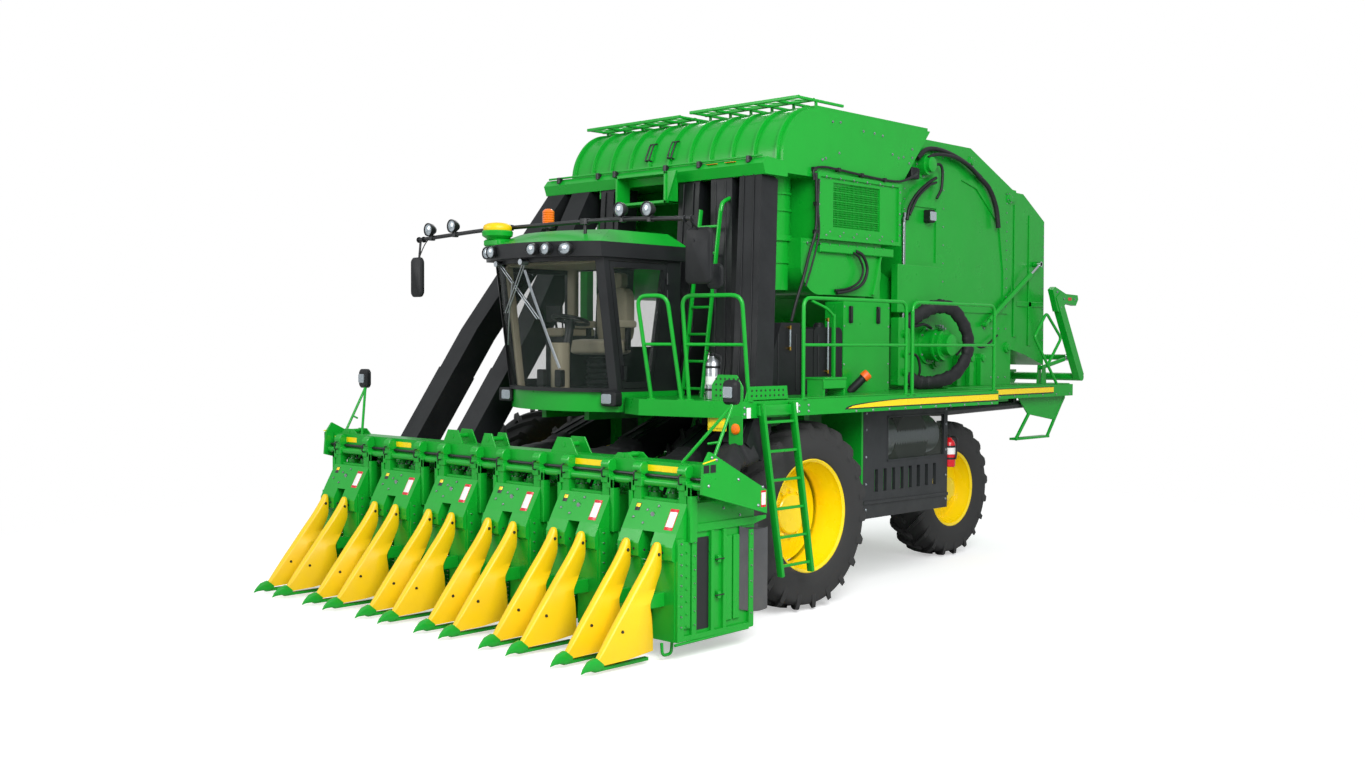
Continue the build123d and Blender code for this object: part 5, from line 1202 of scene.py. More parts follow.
        for x, y, z, corner, edge in (
                ((-0.63, -0.32), (-1.2, -0.7), (f + 0.56, f + 0.66), 0.05, 0.02),
                ((-0.09, 0.09), (-1.6, -1.44), (f, f + 0.5), 0.05, 0.01),
                ((0.66, 0.8), (-0.72, -0.645), (f, self.top), 0.03, 0.003),
                ((-0.8, -0.66), (-0.72, -0.645), (f, self.top), 0.03, 0.003),
                ((-0.78, 0.78), (-1.66, -0.66), (self.top - 0.05, self.top - 0.01), 0.1, 0.01)):
            trim.add(brick(x, y, z, Z, corner, edge))
        trim.add_both(beam((0.75, -1.42, f), (0.75, -1.6, self.top - 0.04), 0.05, 0.09, 0.02))
        trim.piece("cab_trim", TRIM)


@dataclass
class Bin(Assembly):
    """The accumulator's fittings: handles, lid lattice, wire grilles, brow frame, harness and bolts."""

    parts = ("handles", "lids", "grilles", "brow", "drums", "harness", "bolts")
    half: float = 1.65
    top: float = 5.28
    floor: float = 3.88

    def front(self, z: float | np.ndarray) -> np.ndarray:
        """y of the curved front: a circle of radius 0.585 about (0.713, 4.695)."""
        return 0.713 - np.sqrt(np.maximum(0.0, 0.585 ** 2 - (np.asarray(z, float) - 4.695) ** 2))

    def handles(self) -> None:
        """Two D-handles on the curved front, and the clips along the brow."""
        grips = Stock()
        for x in (-0.33, 0.02):
            low, high = (float(self.front(z)) for z in (4.82, 5.02))
            for shift in (-0.03, 0.03):
                grips.add(bent([(x + shift, low, 4.82), (x + shift, low - 0.05, 4.83),
                                (x + shift, high - 0.05, 5.02), (x + shift, high, 5.03)], 0.009, 0.03))
            for z, y in ((4.83, low), (5.02, high)):
                grips.add(tube([(x - 0.035, y - 0.045, z), (x + 0.035, y - 0.045, z)], 0.009))
        for x in (-1.45, -0.78, -0.5, 0.3, 0.8, 1.5):
            grips.add(brick(about(x, 0.022), (-0.275, -0.215), (4.62, 4.69), corner=0.006))
        grips.piece("bin_handles", BLACK)

    def lids(self) -> None:
        """The lid lattice: long bars over the top, slanted flats between them, cross bars and posts."""
        frame = Stock()
        for x0, x1, z in ((-1.66, -0.1, 5.345), (0.06, 1.64, 5.37)):
            for y in (0.4, 0.66):
                frame.add(beam((x0, y, z), (x1, y, z), 0.035, 0.035, 0.006))
            places = np.linspace(x0 + 0.02, x1 - 0.02, 6)
            for a, b in zip(places[:-1], places[1:]):
                frame.add(beam((a, 0.4, z), (b, 0.66, z), 0.022, 0.012, 0.003))
            for x in places:
                frame.add(beam((x, 0.4, z), (x, 1.2, z), 0.03, 0.03, 0.005))
                frame.add(beam((x, 0.72, z), (x, 0.72, self.top), 0.028, 0.028, 0.005))
        frame.piece("lid_lattice", GREEN)

    def grilles(self) -> None:
        """Square wire mesh in both side windows, with its edge frame."""
        mesh = Stock()
        y0, y1, z0, z1, x = 1.0, 1.88, self.floor + 0.14, self.floor + 0.63, self.half - 0.018
        for n, y in enumerate(np.linspace(y0, y1, 37)):
            wide = 0.01 if n % 4 == 0 else 0.005
            mesh.add_both(beam((x, y, z0), (x, y, z1), wide, 0.006, 0.001))
        for n, z in enumerate(np.linspace(z0, z1, 21)):
            wide = 0.01 if n % 4 == 0 else 0.005
            mesh.add_both(beam((x, y0, z), (x, y1, z), 0.006, wide, 0.001))
        mesh.piece("grille_wires", GREEN, replaces=("bin_grilles",))

    def brow(self) -> None:
        """The brow's hanging frame, gussets and bare reflector strips."""
        frame = Stock()
        x0, x1, z0, z1 = -0.32, 0.46, 4.26, 4.6
        for x, z in (((x0, x0 + 0.03), (z0, z1)), ((x1 - 0.03, x1), (z0, z1)), ((x0, x1), (z0, z0 + 0.03)),
                     ((x0, x1), (z1 - 0.03, z1))):
            frame.add(brick(x, (-0.42, -0.22), z, Y, 0.006))
        frame.add(slab([(0.43, 4.6), (0.6, 4.6), (0.46, 4.26), (0.43, 4.26)], Y, -0.4, -0.37))
        for x in (-1.2, -0.8, 0.75, 1.15):
            frame.add(slab([(-0.2, 4.49), (-0.2, 4.4), (0.1, 4.49)], X, x - 0.008, x + 0.008))
        frame.add(bent([(-1.66, -0.225, 4.685), (1.66, -0.225, 4.685)], 0.012))
        frame.piece("brow_frame", GREEN)
        strips = Stock()
        for x in (0.98, 1.24):
            strips.add(beam((x - 0.07, -0.243, 4.644), (x + 0.07, -0.243, 4.644), 0.028, 0.004, 0.001))
        strips.piece("brow_strips", AMBER)

    def drums(self) -> None:
        """Ribbed flanges round the two discharge drums, and the slabs and bars on the feeder's sides."""
        rings = Stock()
        for z in (4.18, 4.36, 3.62):
            rings.add_both(turned([(-0.012, 0.24), (-0.012, 0.268), (0.012, 0.268), (0.012, 0.24)],
                                  (1.18, 0.44, z), Z, 40))
        rings.add_both(slab([(0.78, 3.84), (2.16, 3.84), (2.16, 3.74), (0.78, 3.74)], X, 1.6, 1.655, 0.012))
        rings.add_both(beam((1.61, 1.96, 3.8), (1.61, 1.8, 3.3), 0.05, 0.03, 0.006)).piece("drum_flanges",
                                                                                           GREEN)

    def harness(self) -> None:
        """The clipped wiring along the panel's upper seam and down its front edge, and the feeder's hose."""
        wires, x = Stock(), self.half + 0.035
        # Each point is (out of the panel, y, z).
        for radius, path in (
                (0.014,
                 [(0, 0.61, 4.5), (0, 0.62, 4.62), (0, 0.8, 4.655), (0, 1.05, 4.65), (0, 1.48, 4.63),
                  (0, 1.92, 4.615), (0, 2.25, 4.63), (-0.02, 2.55, 4.72), (-0.2, 2.88, 4.8)]),
                (0.017,
                 [(0, 0.645, 4.58), (0, 0.66, 4.25), (0, 0.645, 3.95), (-0.01, 0.55, 3.7),
                  (-0.03, 0.48, 3.45), (-0.06, 0.4, 3.2), (-0.08, 0.34, 2.98)]),
                (0.011,
                 [(0.012, 0.685, 4.52), (0.012, 0.675, 4.2), (0.012, 0.69, 3.92), (0, 0.6, 3.62),
                  (-0.03, 0.52, 3.36)]),
                (0.018,
                 [(-0.03, 1.42, 3.78), (0.01, 1.5, 3.73), (0.01, 1.585, 3.58), (0.01, 1.5, 3.42),
                  (-0.02, 1.33, 3.34), (-0.05, 1.1, 3.3)]),
                (0.013,
                 [(-0.03, 1.37, 3.76), (-0.01, 1.45, 3.71), (-0.01, 1.53, 3.58), (-0.01, 1.46, 3.44),
                  (-0.04, 1.3, 3.36), (-0.06, 1.08, 3.33)])):
            wires.add(tube(np.add(path, (x, 0, 0)), radius, 10, 42))
        for y, z in ((0.62, 4.62), (1.05, 4.65), (1.48, 4.63), (1.92, 4.615), (0.66, 4.25), (0.65, 3.95)):
            wires.add(brick((self.half, x + 0.02), about(y, 0.02), about(z, 0.022), corner=0.006))
        wires.piece("bin_harness", HOSE)

    def bolts(self) -> None:
        """Bolt heads on the curved front, the side sheet, the panel frame and under the brow."""
        heads = Stock().add(bolts(row((-1.6, 0.128, 4.655), (1.6, 0.128, 4.655), 22), Y, 0.01, -0.01))
        heads.add(bolts(row((-1.5, -0.206, 4.5), (1.5, -0.206, 4.5), 26), Y, 0.009, -0.008))
        sides = [(0.98, 5.17), (1.12, 5.18), (1.55, 5.13), (1.76, 5.13), (1.92, 5.12), (1.1, 4.84),
                 (2.12, 4.93), (2.24, 4.9), (2.34, 4.92), (2.52, 5.03), (2.52, 4.93), (2.46, 4.86),
                 (0.8, 4.74), (0.86, 4.76)]
        frame = [*product(np.linspace(0.85, 2.1, 6), (3.925, 4.56))]
        frame += [(y, z) for z, y in product(np.linspace(4.0, 4.5, 5), (0.722, 2.248))]
        around = [*product(np.linspace(0.95, 1.93, 5), (3.97, 4.55))]
        for places, out, radius, height in ((sides, 0, 0.011, 0.012), (frame, 0.022, 0.009, 0.01),
                                            (around, 0, 0.008, 0.008)):
            heads.add_both(bolts([(self.half + out, y, z) for y, z in places], X, radius, height))
        heads.add_both(bolts(row((1.6, 0.6, 3.83), (1.6, 1.95, 3.83), 9), X, 0.009, 0.062))
        heads.piece("bin_bolts", ZINC)


@dataclass
class Chamber(Assembly):
    """The module chamber's drives, hoses, pipes, lamp and bolts on its left, and bolts on its right."""

    parts = ("drives", "hoses", "pipes", "bolts")
    half: float = 1.3
    frame: float = 1.318
    motor: tuple[float, float] = (3.42, 2.73)

    def drives(self) -> None:
        """The upper roller's gear motor, the lower motor's flanges, bearing housings and cover plates."""
        metal, side = Stock(), self.half
        upper = [(-0.01, 0.16), (0.03, 0.16), (0.03, 0.125), (0.12, 0.125), (0.12, 0.09), (0.17, 0.09),
                 (0.175, 0.07)]
        metal.add(turned(upper, (side, 3.24, 4.94), X, 32))
        lower = [(0.0, 0.24), (0.03, 0.24), (0.03, 0.195), (0.17, 0.195), (0.17, 0.215), (0.2, 0.215),
                 (0.2, 0.17), (0.27, 0.15), (0.27, 0.13), (0.36, 0.13), (0.37, 0.11)]
        metal.add(turned(lower, (side, *self.motor), X, 40))
        bearing = [(0.0, 0.075), (0.03, 0.07), (0.035, 0.045), (0.05, 0.04), (0.052, 0.01)]
        for y, z in ((3.48, 5.05), (4.36, 5.09), (5.33, 4.7), (5.33, 2.7), (4.4, 2.42), (3.56, 2.5)):
            metal.add_both(turned(bearing, (side, y, z), X, 28))
        metal.add(brick((side, 1.4), (2.62, 3.52), (3.12, 3.7), X, 0.01, 0.006))
        for y in (4.05, 4.35, 4.62):
            metal.add(brick((side, 1.37), about(y, 0.045), (2.2, 2.62), X, 0.012, 0.006))
            metal.add(turned([(0, 0.05), (0.09, 0.045), (0.1, 0.02)], (side, y, 2.56), X, 20))
        metal.add(brick((side, 1.42), (2.62, 2.86), (2.24, 3.06), X, 0.02, 0.006))
        for z in (2.4, 2.62, 2.86):
            metal.add(turned([(0, 0.055), (0.15, 0.05), (0.16, 0.03)], (side, 2.74, z), X, 20))
        metal.piece("chamber_drives", GREEN)
        box = Stock().add(brick((side, 1.42), (2.86, 3.04), (4.74, 4.88), X, 0.02, 0.01))
        box.add(brick((side, 1.4), (3.3, 3.42), (4.24, 4.4), X, 0.02, 0.008)).piece("junction_boxes",
                                                                                    BLACK_PE)

    def hoses(self) -> None:
        """Hydraulic hoses in their sleeves: over the top, down the rear edge and round the lower motor."""
        rubber, sleeve, x = Stock(), Stock(), self.half + 0.075
        # Each point is (out of the frame, y, z).
        for radius, path in (
                (0.03, [(0, 3.05, 5.0), (0, 3.25, 5.13), (0, 3.6, 5.15), (0, 4.1, 5.06), (0, 4.5, 4.9)]),
                (0.022,
                 [(0.05, 3.2, 5.02), (0.05, 3.4, 5.08), (0.05, 3.75, 5.09), (0.04, 4.15, 5.02),
                  (0.03, 4.45, 4.88)]),
                (0.018, [(0, 3.24, 4.9), (0.03, 3.52, 4.96), (0.02, 3.56, 4.7), (0, 3.48, 4.55)]),
                (0.02,
                 [(0, 3.46, 4.8), (0.02, 3.3, 4.74), (0.02, 3.06, 4.6), (0, 2.9, 4.42), (0, 2.84, 4.24)]),
                (0.016, [(0.03, 3.42, 4.74), (0.04, 3.24, 4.68), (0.04, 3.0, 4.52), (0.02, 2.86, 4.3)]),
                (0.02, [(0, 2.7, 3.02), (0.06, 2.9, 2.96), (0.08, 3.1, 2.98), (0.05, 3.3, 2.94)]),
                (0.016, [(0, 2.76, 2.62), (0.07, 2.96, 2.6), (0.08, 3.02, 2.4), (0, 2.98, 2.24)]),
                (0.014, [(-0.02, 4.0, 2.6), (0.04, 4.2, 2.76), (0, 4.6, 2.7), (-0.02, 5.0, 2.86)])):
            rubber.add(tube(np.add(path, (x, 0, 0)), radius, 12, 36))
        rubber.piece("chamber_hoses", HOSE)
        stations = 84
        path = smooth([(1.36, 2.82, 2.98), (1.48, 3.02, 3.12), (1.56, 3.22, 3.2), (1.62, 3.5, 3.16),
                       (1.66, 3.74, 2.9), (1.66, 3.76, 2.62), (1.62, 3.56, 2.38), (1.56, 3.24, 2.28),
                       (1.48, 3.0, 2.27), (1.37, 2.82, 2.34)], stations)
        swell = 0.085 + 0.006 * np.sin(np.arange(stations) * 1.3) + 0.004 * np.sin(np.arange(stations) * 2.9)
        sleeve.add(carry(circle(1.0, 20)[None] * swell[:, None, None] * [0.75, 1.0], path, None))
        sleeve.add(tube([(1.36, 4.46, 4.92), (1.37, 4.72, 4.78), (1.37, 4.9, 4.55), (1.37, 4.97, 4.28)],
                        0.032, 14, 30))
        sleeve.piece("hose_sleeves", FLAP_BLACK)

    def pipes(self) -> None:
        """Zinc pipes up the front edge and the lower motor's fittings."""
        pipes = Stock()
        for x, y, high in ((1.36, 2.79, 4.24), (1.34, 2.835, 4.3)):
            pipes.add(tube([(x, y, 2.24), (x, y, high)], 0.014))
            pipes.add(turned([(-0.03, 0.022), (0.03, 0.022)], (x, y, high), Z, 6))
        for y, z in ((3.3, 2.96), (3.36, 2.93), (3.6, 2.8), (3.62, 2.7)):
            pipes.add(turned([(0.2, 0.022), (0.27, 0.022), (0.27, 0.016), (0.3, 0.016)], (self.half, y, z),
                             X, 6))
        pipes.piece("chamber_pipes", ZINC)
        Stock().add(brick((1.4, 1.412), (3.295, 3.425), (4.265, 4.375), X, 0.012, 0.002)).piece(
            "chamber_lamp", REFLECTOR)

    def bolts(self) -> None:
        """Bolt heads round the frames, the drives and the bearings."""
        edge = [(y, z) for z, y in product(np.linspace(3.25, 4.75, 13), (2.86, 5.27))]
        edge += [(y, 5.08) for y in np.linspace(3.3, 4.3, 6)] + [(3.72, z) for z in np.linspace(3.3, 4.9, 8)]
        heads = Stock().add_both(bolts([(self.frame, y, z) for y, z in edge], X, 0.008, 0.009))
        low = product(np.linspace(4.75, 5.3, 4), (2.3, 2.95))
        heads.add_both(bolts([(self.half, y, z) for y, z in low], X, 0.009, 0.01))
        for radius, count, centre, x in ((0.205, 10, self.motor, 1.33), (0.14, 8, (3.24, 4.94), 1.33),
                                         (0.185, 8, self.motor, 1.5)):
            heads.add(bolt_circle(radius, count, centre, x, 0.011, 0.014))
        for centre in ((3.48, 5.05), (4.36, 5.09), (5.33, 4.7)):
            heads.add_both(bolt_circle(0.058, 4, centre, self.half + 0.028, 0.009, 0.012, 0.4))
        heads.piece("chamber_bolts", ZINC)


@dataclass
class Gate:
    """The rear gate's pressed stiffeners, edge bolts and tail lamps."""

    half: float = 1.245
    back: float = 6.43

    def build(self) -> None:
        """Build the gate's pieces."""
        ribs, heads, side = Stock(), Stock(), (self.half, self.half + 0.018)
        for x in np.linspace(-0.96, 0.96, 5):
            ribs.add(brick(about(x, 0.045), (self.back, 6.475), (2.66, 4.32), Y, 0.015, 0.01))
        for z in (2.66, 4.3):
            ribs.add(brick((-1.18, 1.18), (self.back, 6.468), about(z, 0.05), Y, 0.015, 0.008))
        for y, z in ((about(5.62, 0.04), (2.84, 4.64)), (about(6.02, 0.04), (2.72, 4.52)),
                     ((5.64, 6.38), (3.26, 3.33))):
            ribs.add_both(brick(side, y, z, X, 0.012, 0.005))
        for y in (5.49, 6.4):
            heads.add_both(bolts(row((self.half, y, 2.8), (self.half, y, 4.4), 12), X, 0.01, 0.008))
        for x in (-1.2, 1.2):
            heads.add(bolts(row((x, 6.44, 2.6), (x, 6.425, 4.36), 10), Y, 0.01, 0.012))
        ribs.piece("gate_ribs", GREEN, "gate")
        heads.piece("gate_bolts", ZINC, "gate")
        shell = brick((1.03, 1.15), (self.back, 6.49), (3.84, 4.1), Y, 0.025, 0.01)
        Stock().add_both(shell).piece("tail_lamp_shells", BLACK_PE, "gate")
        lens = brick((1.045, 1.135), (6.485, 6.497), (3.86, 4.08), Y, 0.015, 0.004)
        Stock().add_both(lens).piece("tail_lamp_lenses", RED, "gate")


@dataclass
class Deck(Assembly):
    """Walkway fittings: rails and ladders, treads, stripe, tank fittings, marker lamp and extinguishers."""

    parts = ("rails", "treads", "stripe", "tanks", "signals", "bottles", "bolts")
    top: float = 2.19
    outer: float = 2.35
    rail: float = 1.01
    mid: float = 0.54
    tube: float = 0.02

    def panel(self, start: tuple, end: tuple, lean: tuple = (0, 0)) -> list[np.ndarray]:
        """A hooped hand rail with its mid rail and foot flanges; lean moves its top in (x, y).

        Args:
            start: (x, y) of one foot.
            end: (x, y) of the other foot.
            lean: how far the top is moved.

        Returns:
            The rail's ring stacks.
        """
        low, high = np.array([*start, self.top]), np.array([*end, self.top])
        rise = np.array([*lean, self.rail])
        share = self.mid / self.rail
        parts = [bent([low, low + rise, high + rise, high], self.tube, 0.11),
                 tube([low + rise * share, high + rise * share], self.tube * 0.8)]
        return parts + [turned([(0, 0.045), (0.01, 0.045), (0.012, 0.022)], tuple(foot), Z, 20)
                        for foot in (low, high)]

    def ladder(self, foot: tuple, head: tuple, half: tuple, rungs: int, stringer: tuple) -> list[np.ndarray]:
        """Two stringers and their round-edged rungs.

        Args:
            foot: centre of the lower end.
            head: centre of the upper end.
            half: (x, y) from the centre to a stringer.
            rungs: how many.
            stringer: (width, depth) of a stringer.

        Returns:
            The ladder's ring stacks.
        """
        low, high, side = np.array(foot, float), np.array(head, float), np.array([*half, 0.0])
        parts = [beam(low + s * side, high + s * side, *stringer, 0.006) for s in (-1, 1)]
        for n in range(rungs):
            at = low + (high - low) * (n + 0.35) / rungs
            parts.append(beam(at - side, at + side, 0.036, 0.028, 0.008))
        return parts

    def rails(self) -> None:
        """All hand rails, the two ladders and the rear steps, as smooth tubes."""
        bars, x = Stock(), self.outer - self.tube - 0.005
        groups = [self.panel((x, -0.36), (x, 1.44)), self.panel((x, 1.56), (x, 3.28)),
                  self.panel((1.33, -1.5), (1.64, -1.4), (0, -0.21)),
                  self.panel((1.72, -1.375), (x, -1.19), (0, -0.11)),
                  self.ladder((2.39, -0.53, 0.47), (2.39, -0.85, 2.17), (0, 0.235), 6, (0.07, 0.04)),
                  self.ladder((1.09, -0.66, 2.17), (1.09, -0.38, 4.15), (0.14, 0), 7, (0.024, 0.045))]
        for group in groups:
            for part in group:
                bars.add(part)
        bars.add(brick((2.35, 2.39), (-1.105, -0.595), (2.05, 2.15), X, 0.01))
        bars.add(bent([(1.23, -0.38, 4.12), (1.23, -0.36, 4.22), (1.24, -0.16, 4.3)], 0.022, 0.08))
        rear = 1.59
        bars.add(bent([(rear, 6.24, 2.15), (rear, 5.56, 2.84), (rear, 5.88, 3.17), (rear, 6.3, 2.83),
                       (rear, 6.08, 2.61), (rear, 5.945, 2.475)], self.tube, 0.06))
        bars.add(brick((1.41, 1.53), (5.24, 6.13), (1.46, 1.49), Z, 0.012))
        bars.add(beam((1.5, 5.255, 1.47), (1.5, 5.6, 1.81), 0.03, 0.045, 0.006))
        bars.add(beam((1.5, 6.1, 1.47), (1.5, 6.56, 2.01), 0.03, 0.045, 0.006))
        bars.add(slab([(5.56, 1.8), (5.3, 2.03), (6.59, 2.03), (6.59, 1.99), (6.4, 1.79), (6.25, 1.7)], X,
                      1.49, 1.51))
        bars.piece("rails_smooth", GREEN, replaces=("rails_and_ladders",), angle=40)

    def treads(self) -> None:
        """Expanded-metal treads on the walkway and rear deck, toe boards with painted shade in each hole,
        and the step.
        """
        mesh, boards, hole_shades = Stock(), Stock(), Stock()
        for x, y in (((1.8, 2.33), (-1.15, 3.32)), ((1.3, 1.6), (3.42, 6.55)), ((-1.6, -1.3), (3.42, 6.55))):
            mesh.add(brick(x, y, (self.top, self.top + 0.014), Z, 0.01))
        mesh.piece("deck_treads", DECK)
        boards.add(slab([(1.92, 2.19), (2.32, 2.19), (2.32, 2.33), (2.24, 2.44), (2.0, 2.44), (1.92, 2.34)],
                        Y, -1.27, -1.262, 0.002))
        boards.add(slab([(-1.26, 2.19), (-0.6, 2.19), (-0.62, 2.33), (-1.2, 2.33)], X, 2.322, 2.33, 0.002))
        # Each hole is a black disc: painted shade where the board is open.
        hole = [(-0.002, 0.011), (0.002, 0.011)]
        for x, z in product(np.linspace(1.98, 2.26, 6), np.linspace(2.24, 2.4, 4)):
            hole_shades.add(turned(hole, (x, -1.271, z), Y, 12))
        for y, z in product(np.linspace(-1.15, -0.68, 8), (2.24, 2.29)):
            hole_shades.add(turned(hole, (2.331, y, z), X, 12))
        boards.add(brick((2.0, 2.26), (0.08, 0.46), (2.375, 2.395), Z, 0.01))
        for y in (0.09, 0.43):
            boards.add(brick((2.02, 2.24), (y, y + 0.02), (self.top, 2.38), Y, 0.006))
        boards.add(brick((2.23, 2.25), (0.08, 0.46), (2.28, 2.38), X, 0.006))
        boards.piece("toe_boards", GREEN)
        hole_shades.piece("board_holes", BLACK)

    def stripe(self) -> None:
        """The yellow side stripe, swept up from a point, on a slightly larger black one."""
        y = np.concatenate([np.linspace(0.36, 1.3, 14), [3.34]])
        upper = 2.078 + 0.066 * np.sqrt(np.clip((y - 0.36) / 0.94, 0, 1))
        upper[-1] = 2.15
        lower = np.array([(3.34, 2.082), (0.36, 2.076)])
        yellow = np.vstack([np.stack([y, upper], axis=1), lower])
        black = np.vstack([np.stack([y - 0.03, upper + 0.008], axis=1),
                           lower + [(0.0, -0.016), (-0.06, -0.012)]])
        black[14, 0] = 3.34
        rear = np.array([(3.36, 2.152), (6.05, 2.158), (6.05, 2.09), (3.36, 2.084)])
        grown = rear + [(0, 0.008), (0, 0.008), (0, -0.016), (0, -0.016)]
        for name, side, back, deep, finish in (("stripe", yellow, rear, 0.0035, YELLOW),
                                               ("stripe_edge", black, grown, 0.0015, BLACK)):
            made = Stock().add(slab(side, X, self.outer - 0.002, self.outer + deep, 0.0008))
            made.add(slab(back, X, 1.618, 1.62 + deep, 0.0008)).piece(name, finish)

    def tanks(self) -> None:
        """Sight glasses with brass ends, cabinet handles, filler neck with its cap, and tank ribs."""
        clear, brass, black = Stock(), Stock(), Stock()
        for y, low, high in ((0.1, 2.69, 2.91), (0.75, 2.44, 3.0)):
            clear.add(tube([(1.785, y, low), (1.785, y, high)], 0.01))
            for z in (low, high):
                brass.add(tube([(1.76, y, z), (1.79, y, z)], 0.015))
                brass.add(tube([(1.785, y, z - 0.02), (1.785, y, z + 0.02)], 0.013))
        clear.piece("sight_glasses", REFLECTOR)
        brass.piece("sight_fittings", BRASS)
        for y in (1.2, 1.72):
            black.add(bent([(1.742, y, 2.98), (1.765, y, 2.98), (1.765, y, 3.15), (1.742, y, 3.15)], 0.012,
                           0.02))
            black.add(brick((1.738, 1.744), (y - 0.02, y + 0.06), (2.97, 3.16), X, 0.012, 0.001))
        black.add(turned([(0, 0.06), (0.03, 0.06), (0.035, 0.045), (0.05, 0.045)], (1.62, 0.8, 2.92), Z, 28))
        black.add(tube([(1.74, 1.2, 2.21), (1.8, 1.24, 2.28), (1.86, 1.31, 2.37)], 0.046, 22))
        black.add(brick((1.76, 1.775), (0.56, 1.02), (2.21, 2.34), X, 0.03, 0.006))
        for y in (-0.06, 0.24, 0.62, 0.94):
            black.add(brick((1.755, 1.768), about(y, 0.015), (2.24, 2.84), X, 0.006, 0.004))
        black.piece("tank_fittings", BLACK_PE)
        rings = circle(0.058, 28)[None] * np.array([1.0, 1.0, 0.9])[:, None, None]
        cap = carry(rings, [(1.855, 1.305, 2.365), (1.885, 1.34, 2.405), (1.892, 1.348, 2.414)])
        Stock().add(cap).piece("filler_cap", ORANGE)
        post = Stock().add(brick((1.79, 1.83), (0.8, 0.83), (self.top, 3.06), Z, 0.006))
        post.add(bent([(1.81, 0.815, 3.04), (1.81, 0.7, 3.12), (1.74, 0.52, 3.2)], 0.016, 0.06)).piece(
            "tank_post", GREEN)

    def signals(self) -> None:
        """Marker lamp and reflector at the deck's front corner, and bare white plates."""
        Stock().add(brick((2.2, 2.37), (-1.335, -1.325), (1.78, 2.06), Y, 0.012, 0.002)).piece(
            "marker_plate", GREEN)
        lens = turned([(0, 0.052), (-0.012, 0.052), (-0.026, 0.036), (-0.03, 0.002)], (2.29, -1.335, 1.93),
                      Y, 28)
        Stock().add(lens).piece("marker_lens", AMBER)
        strip = Stock().add(brick((1.95, 2.15), (-1.355, -1.345), (1.93, 1.985), Y, 0.003, 0.001))
        strip.add(brick((1.94, 2.16), (-1.346, -1.32), (1.9, 2.03), Y, 0.003, 0.001)).piece(
            "deck_reflector", YELLOW)
        signs = Stock()
        for y, z in ((-1.22, 2.08), (-0.5, 2.11)):
            signs.add(brick((self.outer, self.outer + 0.0015), about(y, 0.03), about(z, 0.05), X, 0.004,
                            0.0004))
        signs.piece("deck_signs", WHITE_SIGN)

    def bottles(self) -> None:
        """Two extinguishers: turned bottles with valve, lever and hose in their straps."""
        radius = 0.07
        for name, x, y, low, high, finish in (("aluminium", 1.85, -1.18, 2.19, 2.6, ALUMINIUM),
                                              ("red", 1.98, 2.872, 1.29, 1.62, RED)):
            tall = high - low
            profile = [(0.0, radius * 0.9), (0.01, radius), (tall - 0.06, radius),
                       (tall - 0.025, radius * 0.8), (tall, radius * 0.4), (tall + 0.015, radius * 0.3)]
            bottle = Stock().add(turned(profile, (x, y, low), Z, 32))
            bottle.piece(f"{name}_bottle", finish, replaces=("extinguishers",) if finish is RED else ())
            valve = Stock().add(turned(
                [(0.0, 0.02), (0.045, 0.02), (0.05, 0.012)], (x, y, high + 0.005), Z, 16))
            for start, back, end in ((0.05, 0.11, 0.075), (0.035, 0.1, 0.03)):
                valve.add(beam((x, y - 0.01, high + start), (x + 0.02, y - back, high + end), 0.018, 0.008,
                               0.003))
            for z in (low + 0.1, high - 0.09):
                valve.add(turned([(-0.012, radius + 0.002), (0.012, radius + 0.002)], (x, y, z), Z, 32))
            hose = [(0.02, 0.01, 0.03), (0.09, 0.02, 0), (0.085, 0.02, -0.16), (0.078, 0.01, -0.24)]
            valve.add(tube(np.add(hose, (x, y, high)), 0.011, 10, 20)).piece(f"{name}_valve", BLACK)
            label = turned([(0.15, radius + 0.001), (0.23, radius + 0.001)], (x, y, low), Z, 32)
            Stock().add(label).piece(f"{name}_label", WHITE_SIGN)

    def bolts(self) -> None:
        """Bolt heads along the deck's side, the cabinet and the tank straps."""
        side = list(product((-1.28, -1.05, -0.45, -0.3), (2.07, 2.13)))
        side += [(y, 2.045) for y in np.linspace(0.5, 3.2, 10)]
        heads = Stock().add(bolts([(self.outer, y, z) for y, z in side], X, 0.01, 0.01))
        for y in (1.1, 1.94):
            heads.add(bolts(row((1.74, y, 2.3), (1.74, y, 3.15), 5), X, 0.008, 0.008))
        heads.add(bolts(row((1.62, 3.5, 2.06), (1.62, 6.5, 2.06), 9), X, 0.01, 0.01)).piece("deck_bolts",
                                                                                            ZINC)


